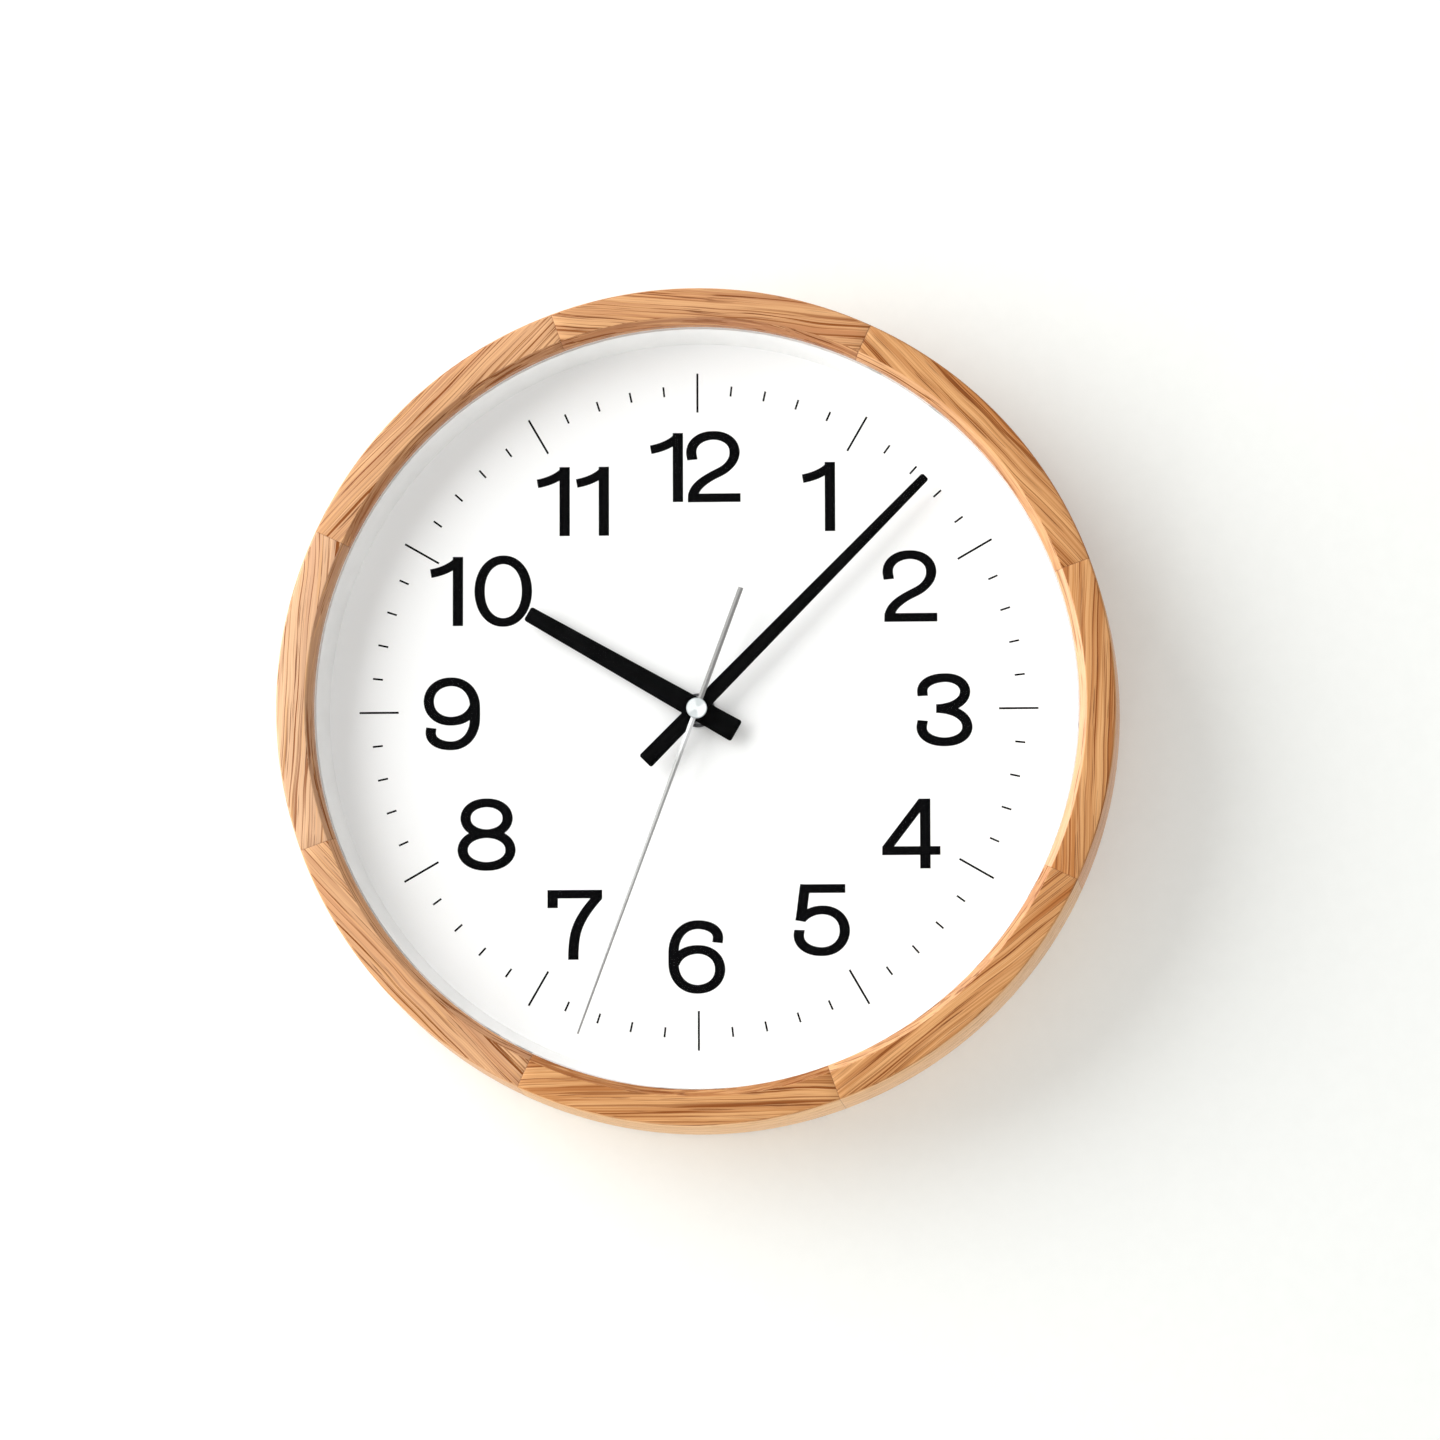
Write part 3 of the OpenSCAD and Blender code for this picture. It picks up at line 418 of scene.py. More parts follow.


def reflectorFinish():
    # white plastic, with a painted glow at its rim that lightens the shade under the lip of the ring
    material, place = openFinish("whiteReflector")
    radius = place.about(centre).stretch(1, 0, 1).length()
    paintedGlowRim = (radius * (1 / mm) - ring["opening"]).fade(*reflector["rimFade"])
    grain = place.cloud(1800, 2.0)
    tint = place.cloud(60).fade(0.3, 0.7).blend(tone(243, 243, 242), tone(249, 249, 248))
    # painted glow: the rim gives off light of its own
    glow = paintedGlowRim.blend((0, 0, 0, 1), tone(118, 118, 116))
    others = {"Emission Color": glow, "Emission Strength": 1.0}
    return closeFinish(material, place, tint, grain * 0.2 + 0.4, (grain, 0.06, 0.08 * mm), others)


dress(glassFinish(), "front_glass")
dress(reflectorFinish(), "reflector_ring")
print("glass and reflector ready")


def paperFinish():
    # matt white print sheet with a trace of fibre, and a faint painted glow that lightens it in shade
    material, place = openFinish("dialPaper")
    fibre = place.cloud(1500, 4.0, 0.7)
    cloudy = place.cloud(25, 2.0)
    tint = (fibre * 0.6 + cloudy * 0.4).fade(0.3, 0.7).blend(tone(251, 251, 250), tone(254, 254, 254))
    # painted glow: the paper gives off a little light of its own
    others = {"Emission Color": tint, "Emission Strength": 0.03}
    return closeFinish(material, place, tint, fibre * 0.16 + 0.62, (fibre, 0.05, 0.04 * mm), others)


def inkFinish():
    material, place = openFinish("dialInk")
    grain = place.cloud(2200, 3.0, 0.65)
    tint = grain.fade(0.3, 0.7).blend(tone(1, 1, 2), tone(12, 12, 13))
    others = {"Specular IOR Level": 0.02}
    return closeFinish(material, place, tint, grain * 0.2 + 0.6, (grain, 0.08, 0.03 * mm), others)


# what is printed on the dial
dialPrint = {
    "level": heightsOf("dial_sheet")[1],
    "ink": 0.02,  # thickness
    "overdraw": 40,  # how many times thicker the strokes are while they are united
    "numeralRadius": 90.0,
    "capHeight": 25.5,
    "minuteRadius": 118.1,
    "minuteLength": 3.7,
    "minuteWidth": 0.68,
    "hourRadius": 117.0,
    "hourLength": 14.4,
    "hourWidth": 0.74,
    "pen": 3.2,  # width of a level stroke
    "uprightExtra": 0.6,  # how much wider an upright one is
    "roundness": 1.05,
}
# strokes of each digit: points of the centre line (right, up, heading), from the middle of the digit and its foot line
digitShapes = {
    "0": {"width": 20.9, "strokes": [("loop", (-8.7, 12.75, 90), (0, 24.3, 0), (8.7, 12.75, -90), (0, 1.2, 180))]},
    "1": {
        "width": 11.85,
        "cut": ["top"],
        "strokes": [("line", (4.1, 0, 90), (4.1, 25.5, 90)), ("line", (-5.9, 19.4, 10), (4.8, 24.75, 50))],
    },
    "2": {
        "width": 19.7,
        "strokes": [
            (
                "line", (-7.8, 15.5, 95), (-8.2, 18.3, 90), (-0.1, 24.5, 0), (7.7, 18.3, -90), (5.0, 12.8, -137),
                (-1.2, 9.2, -150), (-7.6, 1.45, -90), (-7.6, 0, -90),
            ),
            ("line", (-9.45, 1.45, 0), (9.85, 1.45, 0)),
        ],
    },
    "3": {
        "width": 20.2,
        "strokes": [
            ("line", (-7.95, 17.85, 93), (-8.1, 19.8, 88), (0.3, 24.5, 0), (7.5, 19.4, -90), (-3.1, 13.2, 180)),
            ("line", (-3.1, 13.2, 0), (8.25, 6.45, -90), (0, 1.0, 180), (-8.4, 6.3, 90), (-8.0, 8.9, 85)),
        ],
    },
    "4": {
        "width": 21.2,
        "cut": ["top", "left"],
        "strokes": [
            ("line", (5.1, 0, 90), (5.1, 25.5, 90)),
            ("line", (-10.6, 6.55, 0), (10.6, 6.55, 0)),
            ("line", (-9.4, 6.8, 52.4), (6.7, 27.8, 52.4)),
        ],
    },
    "5": {
        "width": 20.7,
        "strokes": [
            ("line", (-7.8, 24.05, 0), (8.5, 24.05, 0)),
            ("line", (-6.05, 25.5, -100), (-7.9, 12.2, -100)),
            (
                "line", (-7.5, 12.9, 48), (0.1, 16.25, 0), (8.25, 8.8, -90), (-0.1, 1.05, 180), (-8.5, 7.0, 90),
                (-8.25, 9.0, 88),
            ),
        ],
    },
    "6": {
        "width": 20.5,
        "strokes": [
            (
                "line", (7.5, 18.0, 83), (7.7, 20.0, 92), (0.2, 24.6, 180), (-8.5, 14.7, -90), (-8.5, 10.3, -90),
                (0.2, 1.05, 0), (8.45, 8.3, 90), (0.3, 15.55, 180), (-8.1, 10.5, -112),
            )
        ],
    },
    "7": {
        "width": 19.6,
        "cut": ["top", "right"],
        "strokes": [
            ("line", (-9.8, 24.0, 0), (9.8, 24.0, 0)),
            ("line", (-8.3, 18.9, 90), (-8.3, 25.5, 90)),
            ("line", (-0.75, 0, 90), (-0.15, 8.45, 80), (8.9, 23.65, 47), (10.6, 25.47, 47)),
        ],
    },
    "8": {
        "width": 20.9,
        "strokes": [
            ("loop", (-7.7, 18.8, 90), (0, 24.45, 0), (7.7, 18.8, -90), (0, 13.15, 180)),
            ("loop", (-8.75, 7.15, 90), (0, 13.15, 0), (8.75, 7.15, -90), (0, 1.15, 180)),
        ],
    },
}
digitShapes["9"] = digitShapes["6"]  # turned upside down
pairGaps = {"10": 4.4, "11": 2.57, "12": 1.45}
# how far an hour stands off its even place, right and up
nudges = {
    1: (-0.6, 0.4), 2: (-0.25, -0.1), 3: (0.0, -0.4), 4: (-0.35, -0.6), 5: (0.0, 1.2), 6: (-0.65, -0.2),
    7: (0.0, -0.2), 8: (0.45, 0.0), 9: (-0.3, -0.45), 10: (-1.6, -0.5), 11: (-0.75, -0.6), 12: (-0.75, -0.45),
}


def headingOf(degrees):
    return Vector((math.cos(math.radians(degrees)), math.sin(math.radians(degrees)), 0))


def penWidth(heading):
    return dialPrint["pen"] + dialPrint["uprightExtra"] * abs(math.sin(math.radians(heading))) ** 5


def handleLength(start, end):
    # length of the handle at start that makes the arc to end elliptical
    chord = Vector((end[0] - start[0], end[1] - start[1], 0))
    turn = math.radians(abs((end[2] - start[2] + 180) % 360 - 180))
    share = 1 / 3 if turn < 0.02 else 4 / 3 * math.tan(turn / 4) / math.sin(turn)
    if turn > 0.7:
        share *= dialPrint["roundness"]
    return max(abs(chord.dot(headingOf(start[2]))), chord.length * 0.3) * share


def meshOf(thing):
    # mesh of a curve, or of an object with its modifiers
    bpy.context.view_layer.update()
    return bpy.data.meshes.new_from_object(thing.evaluated_get(bpy.context.evaluated_depsgraph_get()))


def discard(thing):
    # removes a helper and what it was drawn with
    data = thing.data
    bpy.data.objects.remove(thing)
    (bpy.data.meshes if isinstance(data, bpy.types.Mesh) else bpy.data.curves).remove(data)


def makeNib():
    # flat nib of width 1 that the strokes are drawn with
    curve = bpy.data.curves.new("nib", "CURVE")
    curve.dimensions = "2D"
    spline = curve.splines.new("POLY")
    spline.points.add(3)
    for knot, (x, y) in zip(spline.points, [(-0.5, -0.01), (0.5, -0.01), (0.5, 0.01), (-0.5, 0.01)]):
        knot.co = (x, y, 0, 1)
    spline.use_cyclic_u = True
    return addObject("nib", curve)


def drawStroke(stroke, nib):
    kind, points = stroke[0], stroke[1:]
    curve = bpy.data.curves.new("stroke", "CURVE")
    curve.dimensions = "3D"
    curve.twist_mode = "Z_UP"
    curve.bevel_mode = "OBJECT"
    curve.bevel_object = nib
    curve.use_fill_caps = True
    curve.resolution_u = 14
    spline = curve.splines.new("BEZIER")
    spline.bezier_points.add(len(points) - 1)
    spline.use_cyclic_u = kind == "loop"
    for index, (point, knot) in enumerate(zip(points, spline.bezier_points)):
        x, y, heading = point
        before, after = points[index - 1], points[(index + 1) % len(points)]
        ahead = headingOf(heading)
        knot.co = (x, y, 0)
        knot.handle_left_type = knot.handle_right_type = "FREE"
        knot.handle_right = knot.co + ahead * handleLength(point, after)
        knot.handle_left = knot.co - ahead * handleLength((x, y, heading + 180), (*before[:2], before[2] + 180))
        knot.radius = penWidth(heading)
    drawn = addObject("stroke", curve)
    mesh = meshOf(drawn)
    discard(drawn)
    return mesh


def trimStroke(stroke, cuts):
    # cuts a stroke off square where the outline of its digit ends, and gives it its thickness
    part = bmesh.new()
    part.from_mesh(stroke)
    bmesh.ops.remove_doubles(part, verts=part.verts, dist=weld)
    for spot, normal in cuts:
        cut = bmesh.ops.bisect_plane(
            part, geom=part.verts[:] + part.edges[:] + part.faces[:], plane_co=spot, plane_no=normal, clear_outer=True
        )
        if cut["geom_cut"]:
            bmesh.ops.holes_fill(part, edges=[edge for edge in part.edges if edge.is_boundary], sides=0)
    for vertex in part.verts:
        vertex.co.z = dialPrint["ink"] * dialPrint["overdraw"] if vertex.co.z > 0 else 0
    bmesh.ops.recalc_face_normals(part, faces=part.faces)
    part.to_mesh(stroke)
    part.free()


def drawDigit(digit, nib):
    shape = digitShapes[digit]
    top, side = dialPrint["capHeight"], shape["width"] / 2
    sides = {"top": ((0, top, 0), (0, 1, 0)), "right": ((side, 0, 0), (1, 0, 0)), "left": ((-side, 0, 0), (-1, 0, 0))}
    # the strokes are united where they cross, and then flattened to the thickness of the ink
    others = bpy.data.collections.new("strokes")
    strokes = []
    for stroke in shape["strokes"]:
        mesh = drawStroke(stroke, nib)
        trimStroke(mesh, [sides[name] for name in shape.get("cut", ())])
        strokes.append(bpy.data.objects.new("stroke", mesh))
    bpy.context.scene.collection.objects.link(strokes[0])
    for drawn in strokes[1:]:
        others.objects.link(drawn)
    unite = strokes[0].modifiers.new("unite", "BOOLEAN")
    unite.operation = "UNION"
    unite.solver = "EXACT"
    unite.use_self = True
    unite.operand_type = "COLLECTION"
    unite.collection = others
    united = meshOf(strokes[0])
    whole = bmesh.new()
    whole.from_mesh(united)
    bpy.data.meshes.remove(united)
    for drawn in strokes:
        discard(drawn)
    bpy.data.collections.remove(others)
    bmesh.ops.scale(whole, vec=(1, 1, 1 / dialPrint["overdraw"]), verts=whole.verts)
    if digit == "9":
        turn = Matrix.Translation((0, top, 0)) @ Matrix.Rotation(math.pi, 4, "Z")
        bmesh.ops.transform(whole, matrix=turn, verts=whole.verts)
    return whole


def makeNumerals(material):
    nib = makeNib()
    digits = {digit: drawDigit(digit, nib) for digit in "0123456789"}
    discard(nib)
    numerals = bmesh.new()
    for hour in range(1, 13):
        label = str(hour)
        gap = pairGaps.get(label, 0)
        total = sum(digitShapes[digit]["width"] for digit in label) + gap
        angle = math.radians(hour * 30)
        aside, higher = nudges[hour]
        x = dialPrint["numeralRadius"] * math.sin(angle) - total / 2 + aside
        y = dialPrint["numeralRadius"] * math.cos(angle) - dialPrint["capHeight"] / 2 + higher
        for digit in label:
            width = digitShapes[digit]["width"]
            copy = digits[digit].copy()
            bmesh.ops.translate(copy, vec=(x + width / 2, y, 0), verts=copy.verts)
            scratch = bpy.data.meshes.new("scratch")
            copy.to_mesh(scratch)
            copy.free()
            numerals.from_mesh(scratch)
            bpy.data.meshes.remove(scratch)
            x += width + gap
    for drawn in digits.values():
        drawn.free()
    bmesh.ops.translate(numerals, vec=(0, 0, dialPrint["level"]), verts=numerals.verts)
    return finishPiece("dialNumerals", numerals, material, "clock")


def makeMarks(material):
    marks = bmesh.new()
    for minute in range(60):
        kind = "minute" if minute % 5 else "hour"
        width, length, radius = (dialPrint[kind + part] for part in ("Width", "Length", "Radius"))
        bar = bmesh.ops.create_cube(marks, size=1)["verts"]
        bmesh.ops.scale(marks, vec=(width, length, dialPrint["ink"]), verts=bar)
        bmesh.ops.translate(marks, vec=(0, radius, dialPrint["level"] + dialPrint["ink"] / 2), verts=bar)
        bmesh.ops.rotate(marks, cent=(0, 0, 0), matrix=Matrix.Rotation(math.radians(-6 * minute), 3, "Z"), verts=bar)
    return finishPiece("dialMarks", marks, material, "clock")


dress(paperFinish(), "dial_sheet")
ink = inkFinish()
numerals = makeNumerals(ink)
marks = makeMarks(ink)
print("dial print:", len(numerals.data.polygons) + len(marks.data.polygons), "faces")


# the hands: the black ones taper from a square tail to a square tip
hands = {
    "hour": {
        "node": "hour_hand",
        "body": "hour_work",
        "length": 71.6,
        "tail": 16.4,
        "tip": 5.7,
        "end": 8.5,
        "hole": 3.1,
    },
    "minute": {
        "node": "minute_hand",
        "body": "minute_work",
        "length": 119.0,
        "tail": 27.0,
        "tip": 3.3,
        "end": 6.2,
        "hole": 2.25,
    },
    "round": 0.95,  # of the four corners
    "edge": 0.09,  # of all the edges
}


def handFinish():
    # matt black coat on aluminium
    material, place = openFinish("handBlack")
    grain = place.cloud(1700, 3.0, 0.6)
    tint = place.cloud(90, 2.0).fade(0.3, 0.7).blend(tone(1, 1, 1), tone(6, 6, 7))
    others = {"Specular IOR Level": 0.03}
    return closeFinish(material, place, tint, grain * 0.18 + 0.5, (grain, 0.1, 0.04 * mm), others)


def makeHand(kind, material):
    shape = hands[kind]
    back, front = heightsOf(shape["node"])
    tip, end = shape["tip"] / 2, shape["end"] / 2
    bm = bmesh.new()
    outline(bm, [(-tip, shape["length"]), (-end, -shape["tail"]), (end, -shape["tail"]), (tip, shape["length"])])
    soften(bm, bm.verts[:], hands["round"], 7, "VERTICES")
    # the hole for the pipe: the plate is filled again between the outline and a circle
    hole = set(bmesh.ops.create_circle(bm, segments=48, radius=shape["hole"])["verts"])
    bmesh.ops.delete(bm, geom=bm.faces[:], context="FACES_ONLY")
    bmesh.ops.triangle_fill(bm, edges=bm.edges[:], use_beauty=True, use_dissolve=False)
    blocked = [face for face in bm.faces if hole.issuperset(face.verts)]
    bmesh.ops.delete(bm, geom=blocked, context="FACES")
    lifted = bmesh.ops.extrude_face_region(bm, geom=bm.faces[:])["geom"]
    bmesh.ops.translate(bm, vec=(0, 0, front - back), verts=vertsIn(lifted))
    bmesh.ops.recalc_face_normals(bm, faces=bm.faces)
    rims = [edge for edge in bm.edges if len(edge.link_faces) == 2 and edge.calc_face_angle(0) > 1.2]
    soften(bm, rims, hands["edge"])
    bmesh.ops.translate(bm, vec=(0, 0, back), verts=bm.verts)
    angle = clockAngleOf(shape["node"])
    print(kind, "hand at", round(angle % 360, 2))
    return finishPiece(kind + "HandBlade", bm, material, shape["body"], [shape["node"]], 40, angle)


handBlack = handFinish()
for kind in ("hour", "minute"):
    makeHand(kind, handBlack)

sweep = {
    "length": 126.0,
    "tail": 47.0,
    "hub": 1.9,  # width at the hub and over the tail
    "tip": 0.62,
    "edge": 0.14,
    "collar": 2.9,  # radius of the disc under the cap
    # where its painted light and shade change, from the shaft towards the tip
    "tailFade": (-4, 5),
    "neckFade": (11, 22),
    "tipFade": (60, 126),
}


def sweepFinish(clockAngle):
    # satin blade, with painted reflection and shade along it: palest beside the cap and darkest on its tail
    material, place = openFinish("sweepAluminium")
    along = place.about(centre, clockAngle).part(2) * (1 / mm)
    lines = place.cloud(2400, 3.0, 0.6)
    tint = along.fade(*sweep["tailFade"]).blend(tone(138, 137, 136), tone(218, 219, 220))
    tint = along.fade(*sweep["neckFade"]).blend(tint, tone(166, 166, 165))
    tint = along.fade(*sweep["tipFade"]).blend(tint, tone(134, 133, 132))
    tint = (lines.fade(0.4, 0.7) * 0.2).blend(tint, tone(120, 118, 116))
    return closeFinish(material, place, tint, lines * 0.2 + 0.4, (lines, 0.08, 0.04 * mm), {"Metallic": 0.15})


def makeSweepHand():
    back, front = heightsOf("second_hand")
    thick = front - back
    half = sweep["hub"] / 2
    bm = bmesh.new()
    # roof section at the tail, drawn out to the hub and then to the tip
    face = outline(bm, [(-half, 0), (half, 0), (half, sweep["edge"]), (0, thick), (-half, sweep["edge"])])
    bmesh.ops.rotate(bm, cent=(0, 0, 0), matrix=Matrix.Rotation(math.radians(90), 3, "X"), verts=bm.verts)
    bmesh.ops.translate(bm, vec=(0, -sweep["tail"], 0), verts=bm.verts)
    for further, narrower in ((sweep["tail"], 1), (sweep["length"], sweep["tip"] / sweep["hub"])):
        grown = bmesh.ops.extrude_face_region(bm, geom=[face])["geom"]
        if narrower < 1:
            bmesh.ops.delete(bm, geom=[face], context="FACES_ONLY")
        face = next(item for item in grown if isinstance(item, bmesh.types.BMFace))
        bmesh.ops.translate(bm, vec=(0, further, 0), verts=face.verts[:])
        bmesh.ops.scale(bm, vec=(narrower, 1, 1), verts=face.verts[:])
    radius = sweep["collar"]
    collar = bmesh.ops.create_cone(bm, cap_ends=True, segments=48, radius1=radius, radius2=radius, depth=thick)["verts"]
    bmesh.ops.translate(bm, vec=(0, 0, thick / 2), verts=collar)
    bmesh.ops.translate(bm, vec=(0, 0, back), verts=bm.verts)
    angle = clockAngleOf("second_hand")
    print("second hand at", round(angle % 360, 2))
    return finishPiece(
        "sweepHandBlade", bm, sweepFinish(angle), "second_work", ["second_hand"], 20, angle
    )


makeSweepHand()

cap = {
    "slim": 0.965,  # its radius as a share of that of its CAD node
    "midFade": (0.3, 1.2),  # radii between which the painted reflection rays begin
    "rimFade": (3.25, 3.6),  # and between which the face darkens towards its edge
    # half section from the middle of the top down to the foot, as shares of the radius and the height
    "section": [(0, 0.86), (0.55, 0.88), (0.80, 0.92), (0.90, 1.0), (0.96, 0.97), (1.0, 0.80), (1.0, 0.0), (0, 0.0)],
}


def spunFinish():
    # aluminium turned on a lathe: fine rings round the shaft, and light and dark rays of painted reflection
    material, place = openFinish("capAluminium")
    spot = place.about(centre)
    radius = spot.stretch(1, 0, 1).length()
    near = radius * (1 / mm)
    turned = radius.node(
        "TexNoise", {"noise_dimensions": "1D"}, {"W": radius, "Scale": 9000, "Detail": 3.0, "Roughness": 0.6}
    )
    paintedRays = (spot.part(0).sums("ARCTAN2", spot.part(2)) * 2 + 0.7).swing()
    tint = turned.fade(0.3, 0.7).blend(tone(226, 230, 232), tone(250, 252, 252))
    tint = (paintedRays.fade(0.45, 0.95) * near.fade(*cap["midFade"])).blend(tint, tone(206, 212, 213))
    tint = near.fade(*cap["rimFade"]).blend(tint, tone(184, 190, 192))
    return closeFinish(material, place, tint, turned * 0.2 + 0.3, (turned, 0.25, 0.03 * mm), {"Metallic": 0.45})


def makeCap():
    back, front = heightsOf("second_cap")
    radius = radiusOf("second_cap") * cap["slim"]
    bm = bmesh.new()
    verts = [bm.verts.new((radius * x, 0, back + (front - back) * z)) for x, z in cap["section"]]
    for first, second in zip(verts, verts[1:]):
        bm.edges.new((first, second))
    bmesh.ops.spin(
        bm, geom=bm.verts[:] + bm.edges[:], cent=(0, 0, 0), axis=(0, 0, 1), angle=math.radians(360), steps=72,
        use_merge=True, use_duplicate=False,
    )
    return finishPiece("spunCap", bm, spunFinish(), "second_work", ["second_cap"], 35)


makeCap()
print("hands ready")


# what the clock holds behind its dial keeps its CAD shape
def plasticFinish(name, colour, roughness, bump):
    # moulded plastic with a fine spark-eroded grain and slight flow marks
    material, place = openFinish(name)
    grain = place.cloud(2400, 2.0)
    tint = place.cloud(60).fade(0.3, 0.7).blend(darker(colour, 0.12), colour)
    return closeFinish(material, place, tint, grain * 0.2 + (roughness - 0.1), (grain, bump, 0.08 * mm))


def metalFinish(name, colour, roughness, brushed=(1, 1, 1)):
    # metal with brush lines across the axis that is stretched, and a faint cloudy tarnish
    material, place = openFinish(name)
    lines = place.stretch(*brushed).cloud(900, 3.0, 0.6)
    cloudy = place.cloud(140, 4.0)
    tint = cloudy.fade(0.35, 0.7).blend(colour, darker(colour, 0.2))
    rough = lines * 0.22 + cloudy * 0.12 + (roughness - 0.16)
    return closeFinish(material, place, tint, rough, (lines, 0.08, 0.05 * mm), {"Metallic": 1.0})


def boardFinish():
    # pressed wood fibre
    material, place = openFinish("fibreboard")
    hair = place.cloud(900, 5.0, 0.75)
    long = place.stretch(0.35, 1, 1).cloud(420, 3.0, 0.6)
    tint = hair.fade(0.3, 0.7).blend(tone(122, 90, 60), tone(168, 131, 94))
    tint = (long.fade(0.58, 0.7) * 0.6).blend(tint, tone(196, 164, 124))
    return closeFinish(material, place, tint, hair * 0.2 + 0.65, (hair, 0.4, 0.2 * mm))


def pineFinish():
    # planed softwood with a year ring every few millimetres
    material, place = openFinish("planedPine")
    drift = place.stretch(4, 20, 20).cloud(1.0, 2.0)
    bands = ((place.part(2) + drift * (12 * mm)) * (2 * math.pi / (5.5 * mm))).swing()
    fibre = place.stretch(20, 900, 900).cloud(1.0)
    tint = bands.fade(0.2, 0.95).blend(tone(229, 199, 150), tone(201, 158, 103))
    tint = (fibre.fade(0.4, 0.7) * 0.4).blend(tint, tone(186, 139, 88))
    return closeFinish(material, place, tint, fibre * 0.2 + 0.5, (fibre + bands * 0.4, 0.3, 0.2 * mm))


def windingFinish():
    # enamelled copper wire of 0.12 mm, wound round the long axis of the coil
    material, place = openFinish("copperWinding")
    # each turn is painted light on its crown and dark in the groove by the next, painted highlight and shade; the same
    # wave raises the bump
    wire = (place.part(0) * (2 * math.pi / (0.12 * mm))).swing()
    uneven = place.cloud(500)
    tint = wire.blend(tone(120, 52, 22), tone(206, 112, 62))
    tint = (uneven.fade(0.5, 0.75) * 0.4).blend(tint, tone(160, 78, 38))
    return closeFinish(material, place, tint, uneven * 0.2 + 0.25, (wire, 0.5, 0.05 * mm), {"Metallic": 0.85})


def circuitFinish():
    # solder mask with copper tracks showing through it
    material, place = openFinish("circuitMask")
    tracks = place.node("TexBrick", {"offset": 0.35}, {"Vector": place, "Scale": 520.0, "Mortar Size": 0.09}, 1)
    weave = place.cloud(1300)
    tint = (tracks * 0.5).blend(tone(22, 84, 48), tone(64, 132, 74))
    tint = (weave * 0.3).blend(tint, tone(18, 66, 40))
    return closeFinish(material, place, tint, weave * 0.2 + 0.28, (tracks * 0.6 + weave * 0.3, 0.2, 0.05 * mm))


def rubberFinish():
    material, place = openFinish("washerRubber")
    grain = place.cloud(1800, 4.0, 0.65)
    tint = grain.fade(0.3, 0.7).blend(tone(24, 24, 25), tone(48, 47, 47))
    return closeFinish(material, place, tint, grain * 0.2 + 0.6, (grain, 0.25, 0.1 * mm))


# printed sleeve of the cell: shares of its length, from the negative end
sleeve = {"from": 0.014, "to": 0.970, "copperFrom": 0.70, "lineWidth": 0.02, "blur": 0.002}


def batteryFinish():
    # dark over most of its length, copper at the positive end behind a pale line, bare steel at both ends
    material, place = openFinish("cellSleeve")
    low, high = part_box("battery_cell")
    along = (place.part(0) - low.x) * (1 / (high.x - low.x))
    blur, half = sleeve["blur"], sleeve["lineWidth"] / 2
    wrap = along.fade(sleeve["from"] - blur, sleeve["from"] + blur)
    wrap = wrap * along.fade(sleeve["to"] + blur, sleeve["to"] - blur)
    copper = along.fade(sleeve["copperFrom"], sleeve["copperFrom"] + 2 * blur)
    stripe = along.fade(sleeve["copperFrom"] - half, sleeve["copperFrom"] - half + blur)
    stripe = stripe * along.fade(sleeve["copperFrom"] + half, sleeve["copperFrom"] + half - blur)
    scuff = place.cloud(300, 5.0, 0.7)
    tint = copper.blend(tone(26, 27, 30), tone(190, 116, 62))
    tint = stripe.blend(tint, tone(226, 222, 212))
    tint = (scuff.fade(0.62, 0.72) * 0.3).blend(tint, tone(120, 118, 114))
    tint = wrap.blend(tone(176, 177, 178), tint)
    metallic = {"Metallic": (1 - wrap) * 0.9 + copper * wrap * 0.6}
    return closeFinish(material, place, tint, scuff * 0.2 + 0.24, (wrap + scuff * 0.1, 0.5, 0.1 * mm), metallic)


dress(boardFinish(), "dial_board")
dress(pineFinish(), "hanger_block")
dress(
    metalFinish("platedSteel", tone(186, 188, 190), 0.34, (0.08, 1, 1)),
    "retaining_points", "keyhole_plate", "hanger_screws", "stator", "coil_core", "coil_screws",
    "quartz_crystal", "contact_negative", "second_arbor", "minute_pipe", "hex_nut",
)
dress(
    metalFinish("turnedBrass", tone(206, 168, 92), 0.3, (1, 0.2, 1)),
    "contact_positive", "hour_collet", "minute_collet",
)
dress(metalFinish("nickelWasher", tone(92, 92, 94), 0.3), "brass_washer")
dress(metalFinish("brushedAluminium", tone(214, 215, 218), 0.3), "second_tube")
dress(metalFinish("sinteredMagnet", tone(70, 70, 74), 0.6), "rotor_magnet")
dress(
    plasticFinish("blackCase", tone(30, 30, 31), 0.55, 0.3),
    "case_base", "case_cover", "setting_knob", "control_chip",
)
dress(
    plasticFinish("naturalAcetal", tone(232, 226, 206), 0.42, 0.08),
    "middle_plate", "coil_bobbin", "rotor_pinion", "intermediate_wheel", "third_wheel",
    "second_wheel", "centre_wheel", "minute_wheel", "hour_wheel",
)
dress(windingFinish(), "coil_winding")
dress(circuitFinish(), "circuit_board")
dress(rubberFinish(), "rubber_washer")
dress(batteryFinish(), "battery_cell")
print("finishes ready:", len(bpy.data.materials))


# wall, floor and light
room = {
    "wallHalf": 2.2,
    "wallGap": 0.0006,
    "paint": (0.768, 0.78, 0.757, 1.0),
    "wallGlow": 0.26,
    "floorHalf": 4.4,
    "floorDrop": 1.55,
    "floorPaint": (0.86, 0.86, 0.85, 1.0),
    "sky": 0.6,
    "keyFrom": (-1.46, -0.68, 0.68),  # from the shaft, in metres
    "keySize": 2.3,
    "keyPower": 61.0,
    "fillFrom": (-0.2, -0.1, -1.4),
    "fillSize": 0.15,
    "fillPower": 5.5,
}


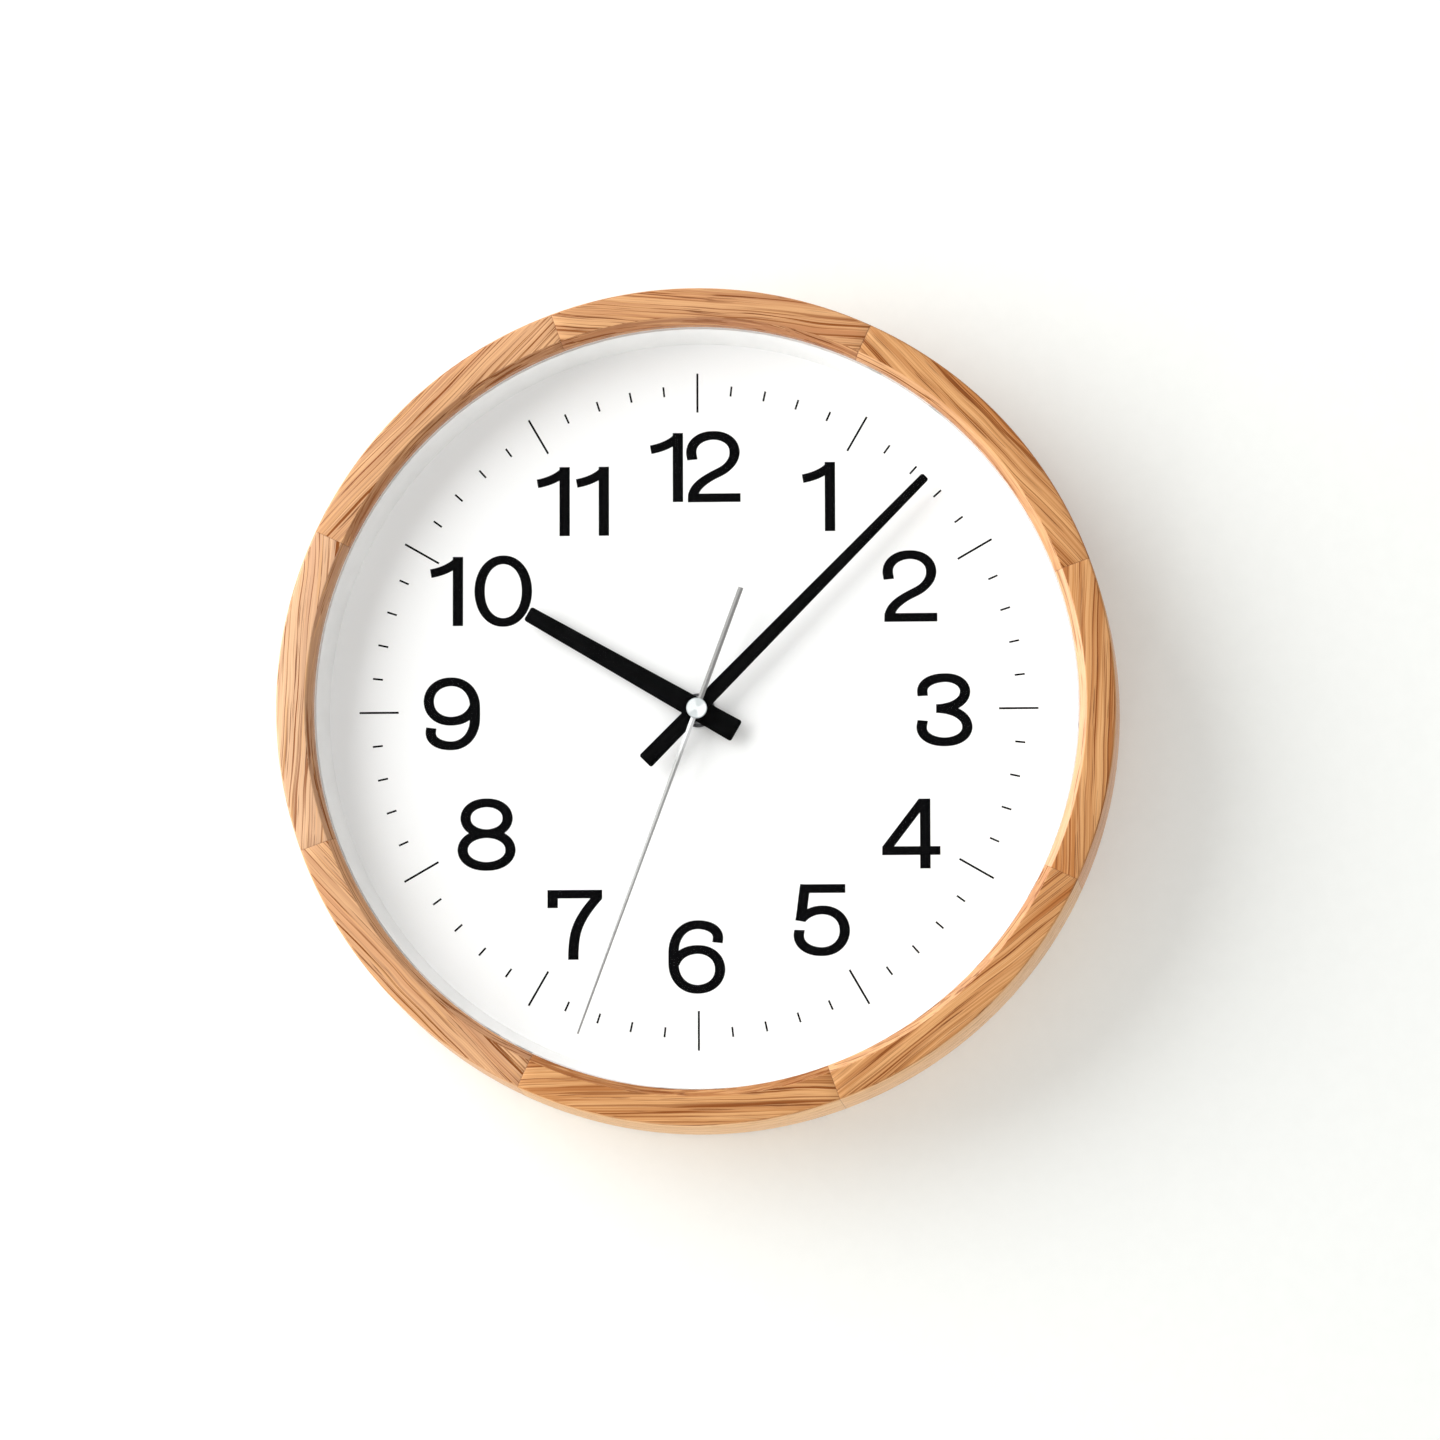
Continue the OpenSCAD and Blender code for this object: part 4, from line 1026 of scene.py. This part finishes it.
def paintFinish(name, colour, oneSided):
    material, place = openFinish(name)
    tint = place.cloud(140).fade(0.3, 0.7).blend(colour, darker(colour, 0.015))
    shader = place.node("BsdfDiffuse", {}, {"Color": tint})
    if oneSided:
        glow = place.node("Emission", {}, {"Color": tint, "Strength": room["wallGlow"]})
        shader = place.node("AddShader", {}, {0: shader, 1: glow})
        # only what looks at the front of the wall meets it, so that the back of the clock shows from behind
        seen = place.node("LightPath", {}, {}, "Is Camera Ray") * (1 - place.node("NewGeometry", {}, {}, "Backfacing"))
        shader = place.node("MixShader", {}, {0: seen, 1: place.node("BsdfTransparent", {}, {}), 2: shader})
    place.node("OutputMaterial", {}, {"Surface": shader})
    return material


def makeSheet(name, half, matrix, material):
    bm = bmesh.new()
    bmesh.ops.create_grid(bm, x_segments=2, y_segments=2, size=half)
    bmesh.ops.transform(bm, matrix=matrix, verts=bm.verts)
    mesh = bpy.data.meshes.new(name)
    bm.to_mesh(mesh)
    bm.free()
    mesh.materials.append(material)
    addObject(name, mesh)


makeSheet(
    "wall", room["wallHalf"],
    Matrix.Translation((0, room["wallGap"], centre.z)) @ Matrix.Rotation(math.radians(90), 4, "X"),
    paintFinish("wallPaint", room["paint"], True),
)
makeSheet(
    "floor", room["floorHalf"],
    Matrix.Translation((0, 0, centre.z - room["floorDrop"])),
    paintFinish("floorPaint", room["floorPaint"], False),
)

# a sky that looks white and lights the room more weakly
world = bpy.data.worlds.new("studio")
bpy.context.scene.world = world
world.use_nodes = True
world.node_tree.nodes.clear()
air = Wire(world.node_tree)
direct, glossy, through = (
    air.node("LightPath", {}, {}, "Is %s Ray" % kind) for kind in ("Camera", "Glossy", "Transmission")
)
seen = (direct + glossy + through).fade(0, 1)
sky = air.node("Background", {}, {"Color": (1, 1, 1, 1), "Strength": seen * (1 - room["sky"]) + room["sky"]})
air.node("OutputWorld", {}, {"Surface": sky})


def aimAt(thing, target):
    thing.rotation_mode = "QUATERNION"
    thing.rotation_quaternion = (target - thing.location).to_track_quat("-Z", "Y")


def hangLamp(name):
    lamp = bpy.data.lights.new(name, "AREA")
    lamp.shape = "DISK"
    lamp.size = room[name + "Size"]
    lamp.energy = room[name + "Power"]
    hung = addObject(name, lamp)
    hung.location = Vector(room[name + "From"]) + centre
    aimAt(hung, centre)


hangLamp("key")
hangLamp("fill")
print("room ready")

# the camera looks a little from the right and from below at the front of the clock
lens = {
    "right": 3.19,  # degrees
    "below": 5.51,
    "distance": 2.4,
    "millimetres": 165.85,
    "aimRight": 9.2,  # how far beside the middle of the clock it is aimed
    "aimBelow": 5.68,
    "roll": -0.151,
}
side, drop = math.radians(lens["right"]), math.radians(lens["below"])
look = Vector((-math.sin(side) * math.cos(drop), math.cos(side) * math.cos(drop), math.sin(drop)))
across = look.cross(Vector((0, 0, 1))).normalized()
target = centre + Vector((0, -ring["depth"] * mm, 0))
aim = target + across * (lens["aimRight"] * mm) - across.cross(look) * (lens["aimBelow"] * mm)
cameraData = bpy.data.cameras.new("camera")
cameraData.lens = lens["millimetres"]
cameraData.sensor_width = 36
camera = addObject("camera", cameraData)
camera.location = target - look * lens["distance"]
aimAt(camera, aim)
camera.rotation_quaternion = camera.rotation_quaternion @ Quaternion((0, 0, 1), math.radians(lens["roll"]))
bpy.context.scene.camera = camera
bpy.context.scene.view_settings.view_transform = "Standard"
